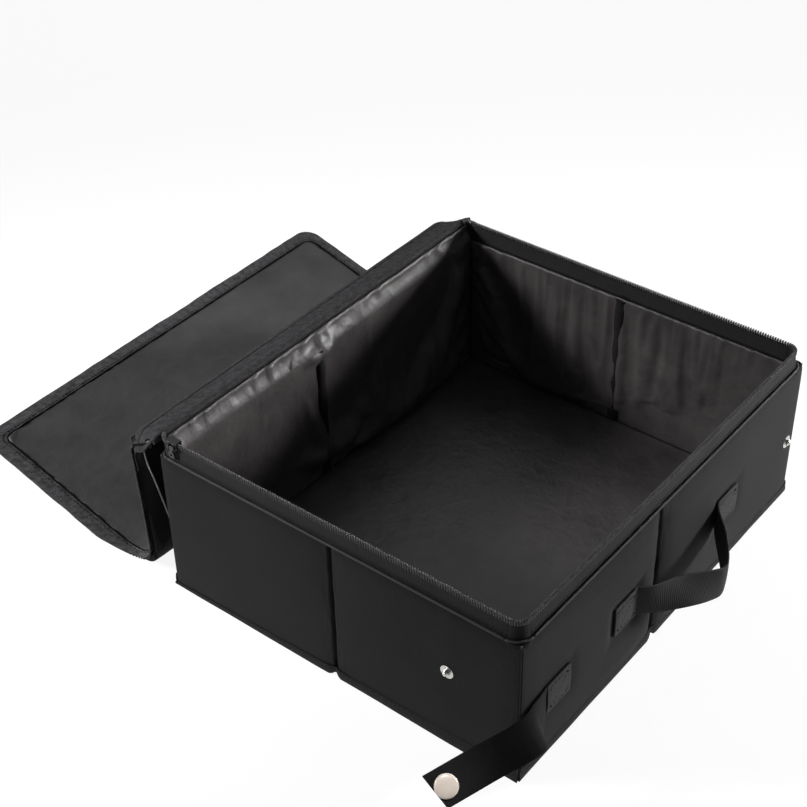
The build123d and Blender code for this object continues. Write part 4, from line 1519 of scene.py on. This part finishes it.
# %% Webbing
def webbing(name, stations, width, thickness, body, *nodes, finish=webbing_cloth):
    """A band through stations, each a place and the direction of the band's width."""
    places = [place for place, _ in stations]
    leans = [lean.normalized() for _, lean in stations]
    length = sum((second - first).length for first, second in zip(places, places[1:]))
    rows = int(length / (2.2 * mm))

    def lay(across, share):
        place = smooth_through(places, share)
        lean = smooth_through(leans, share).normalized()
        run = smooth_through(places, share + 0.01) - smooth_through(places, share - 0.01)
        face = run.normalized().cross(lean)
        cup = 0.5 * mm * (1 - (2 * across - 1) ** 2)
        return place + lean * ((across - 0.5) * width) + face * cup

    bm = quilt(width, length, 8, rows, lay)
    bmesh.ops.recalc_face_normals(bm, faces=bm.faces)
    piece = round_edges(thicken(to_object(bm, name, finish), thickness, 0.0), 0.45 * mm, 3)
    belongs(piece, body, "webbing", *nodes)


web_low, web_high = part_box("handle_webbing")
web_width = 25 * mm
web_thickness = 1.7 * mm
handle_reach, handle_droop, handle_mid_z = 32 * mm, 9 * mm, 57 * mm
handle_shares = ((0, 0, 0, 0), (.095, .26, .1, 0), (.305, .63, .45, -.35), (.47, .9, .85, -.15),
                 (.565, 1, 1, 0), (.655, .9, .9, .05), (.815, .5, .45, .1), (.93, .15, .1, 0), (1, 0, 0, 0))
handle_stations = []
for along, outward, droop, lean in handle_shares:
    place = Vector((handle_x + 1 * mm + outward * handle_reach, web_low.y + along * (web_high.y - web_low.y),
                    handle_mid_z - droop * handle_droop))
    handle_stations.append((place, Vector((lean, 0, 1))))
handle_bend = (Vector((handle_x + 1.5 * mm, 0, 0)), Vector((handle_x + 18 * mm, 0, 0)))
webbing("handle_band", handle_stations, web_width, web_thickness, ("handle_wall", "handle", *handle_bend),
        "handle_webbing")

strap_low, strap_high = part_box("strap_anchor")
strap_root = Vector((handle_x + 1 * mm, strap_low.y - 0.3 * mm, (strap_low.z + strap_high.z) / 2))
strap_stand, strap_turn, strap_long, strap_droop = 9 * mm, 28 * mm, 89 * mm, 15.5 * mm
strap_shares = ((0, 0, 0, 0, 0), (.15, .45, 0, 0, -.25), (.32, 1, 0, .08, -1.15), (.66, 1, .5, .54, -1.2),
                (1, 1, 1, 1, -1.25))
strap_stations = []
for along, stand, turn, droop, lean in strap_shares:
    step = Vector((stand * strap_stand - turn * strap_turn, -along * strap_long, -droop * strap_droop))
    strap_stations.append((strap_root + step, Vector((lean, 0, 1))))
# The strap gets the darker copy of the webbing: painted shade.
webbing("snap_band", strap_stations, web_width, web_thickness, "snap_strap", "strap_webbing",
        finish=shaded_strap_cloth)

# %% [markdown]
# At the strap's tip a press stud's cap shows on the upper face, with its socket under it.
# Both are turned parts: half of their outline is spun round an axis that stands on the strap.


# %% Snap cap and socket
def spun(name, outline, turn, material, body, slot, *nodes):
    """A turned part from its outline, a list of radius and height, placed by a matrix."""
    bm = bmesh.new()
    verts = [bm.verts.new((radius, 0, height)) for radius, height in outline]
    edges = [bm.edges.new(pair) for pair in zip(verts, verts[1:])]
    bmesh.ops.spin(bm, geom=verts + edges, cent=(0, 0, 0), axis=(0, 0, 1), dvec=(0, 0, 0), steps=64,
                   angle=2 * math.pi, use_merge=False)
    bmesh.ops.remove_doubles(bm, verts=bm.verts, dist=0.01 * mm)
    bmesh.ops.recalc_face_normals(bm, faces=bm.faces)
    bmesh.ops.transform(bm, matrix=turn, verts=bm.verts)
    belongs(to_object(bm, name, material), body, slot, *nodes)


cap_share = 0.925
strap_places = [place for place, _ in strap_stations]
cap_place, past_cap, before_cap = (smooth_through(strap_places, cap_share + step)
                                   for step in (0, 0.01, -0.01))
cap_lean = smooth_through([lean.normalized() for _, lean in strap_stations], cap_share).normalized()
cap_run = (past_cap - before_cap).normalized()
cap_up = cap_run.cross(cap_lean).normalized()
if cap_up.z < 0:
    cap_up = -cap_up
cap_turn = Matrix((cap_run, cap_up.cross(cap_run).normalized(), cap_up)).transposed().to_4x4()
cap_outline = ((0, 2.0), (3.5, 1.98), (6.2, 1.75), (7.1, 1.35), (7.7, 0.6), (7.8, 0.1), (7.6, -0.3),
               (0, -0.3))
socket_outline = ((2.2, 0.3), (2.2, -1.5), (2.8, -2.0), (4.2, -2.0), (4.9, -1.4), (5.1, -0.5), (6.6, -0.4),
                  (6.8, 0), (6.6, 0.3), (2.2, 0.3))
for name, outline, lift, finish, slot, node in (
    ("snap_cap_disc", cap_outline, 1.1 * mm, pearl, "snap_cap", "snap_cap"),
    ("snap_socket_ring", socket_outline, -1.5 * mm, nickel, "snap_metal", "snap_socket"),
):
    cap_turn.translation = cap_place + cap_up * lift
    spun(name, [(v * mm, w * mm) for v, w in outline], cap_turn, finish, "snap_strap", slot, node)

# %% [markdown]
# Each end of the webbing is a square patch, sewn down with a box of stitches and a cross in it.
# The patch is the same webbing, so it is the same band along four stations, lying on the wall.


# %% Sewn patches
def sewn_patch(node, body):
    """A square end of webbing with its box of stitches."""
    low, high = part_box(node)
    mid_z = (low.z + high.z) / 2
    out = (low.x + high.x) / 2 + 0.2 * mm
    stations = [(Vector((out, low.y + share * (high.y - low.y), mid_z)), upward)
                for share in (0, 0.33, 0.67, 1)]
    webbing(node + "_patch", stations, high.z - low.z, high.x - low.x, body, node)
    inset = 3 * mm
    y0, y1, z0, z1 = low.y + inset, high.y - inset, low.z + inset, high.z - inset
    ends = [Vector((0, y, z)) for y, z in ((y0, z0), (y1, z0), (y1, z1), (y0, z1), (y0, z0), (y1, z1))]
    places = []
    for first, last in [*zip(ends, ends[1:]), (ends[1], ends[3])]:
        count = int((last - first).length / stitch_pitch)
        for index in range(count):
            place = first.lerp(last, (index + 0.5) / count)
            place.x = high.x + 0.62 * mm
            places.append((place, last - first, Vector((1, 0, 0))))
    blocks(node + "_stitches", places, stitch_size, stitch_round, thread, body, "webbing")


for node in ("handle_anchor_near", "handle_anchor_far", "strap_anchor"):
    sewn_patch(node, "handle_wall")

# %% [markdown]
# The studs, the slider and its pull are rigid turned or cast parts.
# Their CAD shapes are right, so they stay, and only their finishes change.

# %% Kept hardware
hardware = {"front_stud": nickel, "side_stud": nickel, "slider_pull": black_enamel,
            "zip_slider": black_enamel}
for node, finish in hardware.items():
    refinish(node, finish)
print("kept:", ", ".join(hardware))
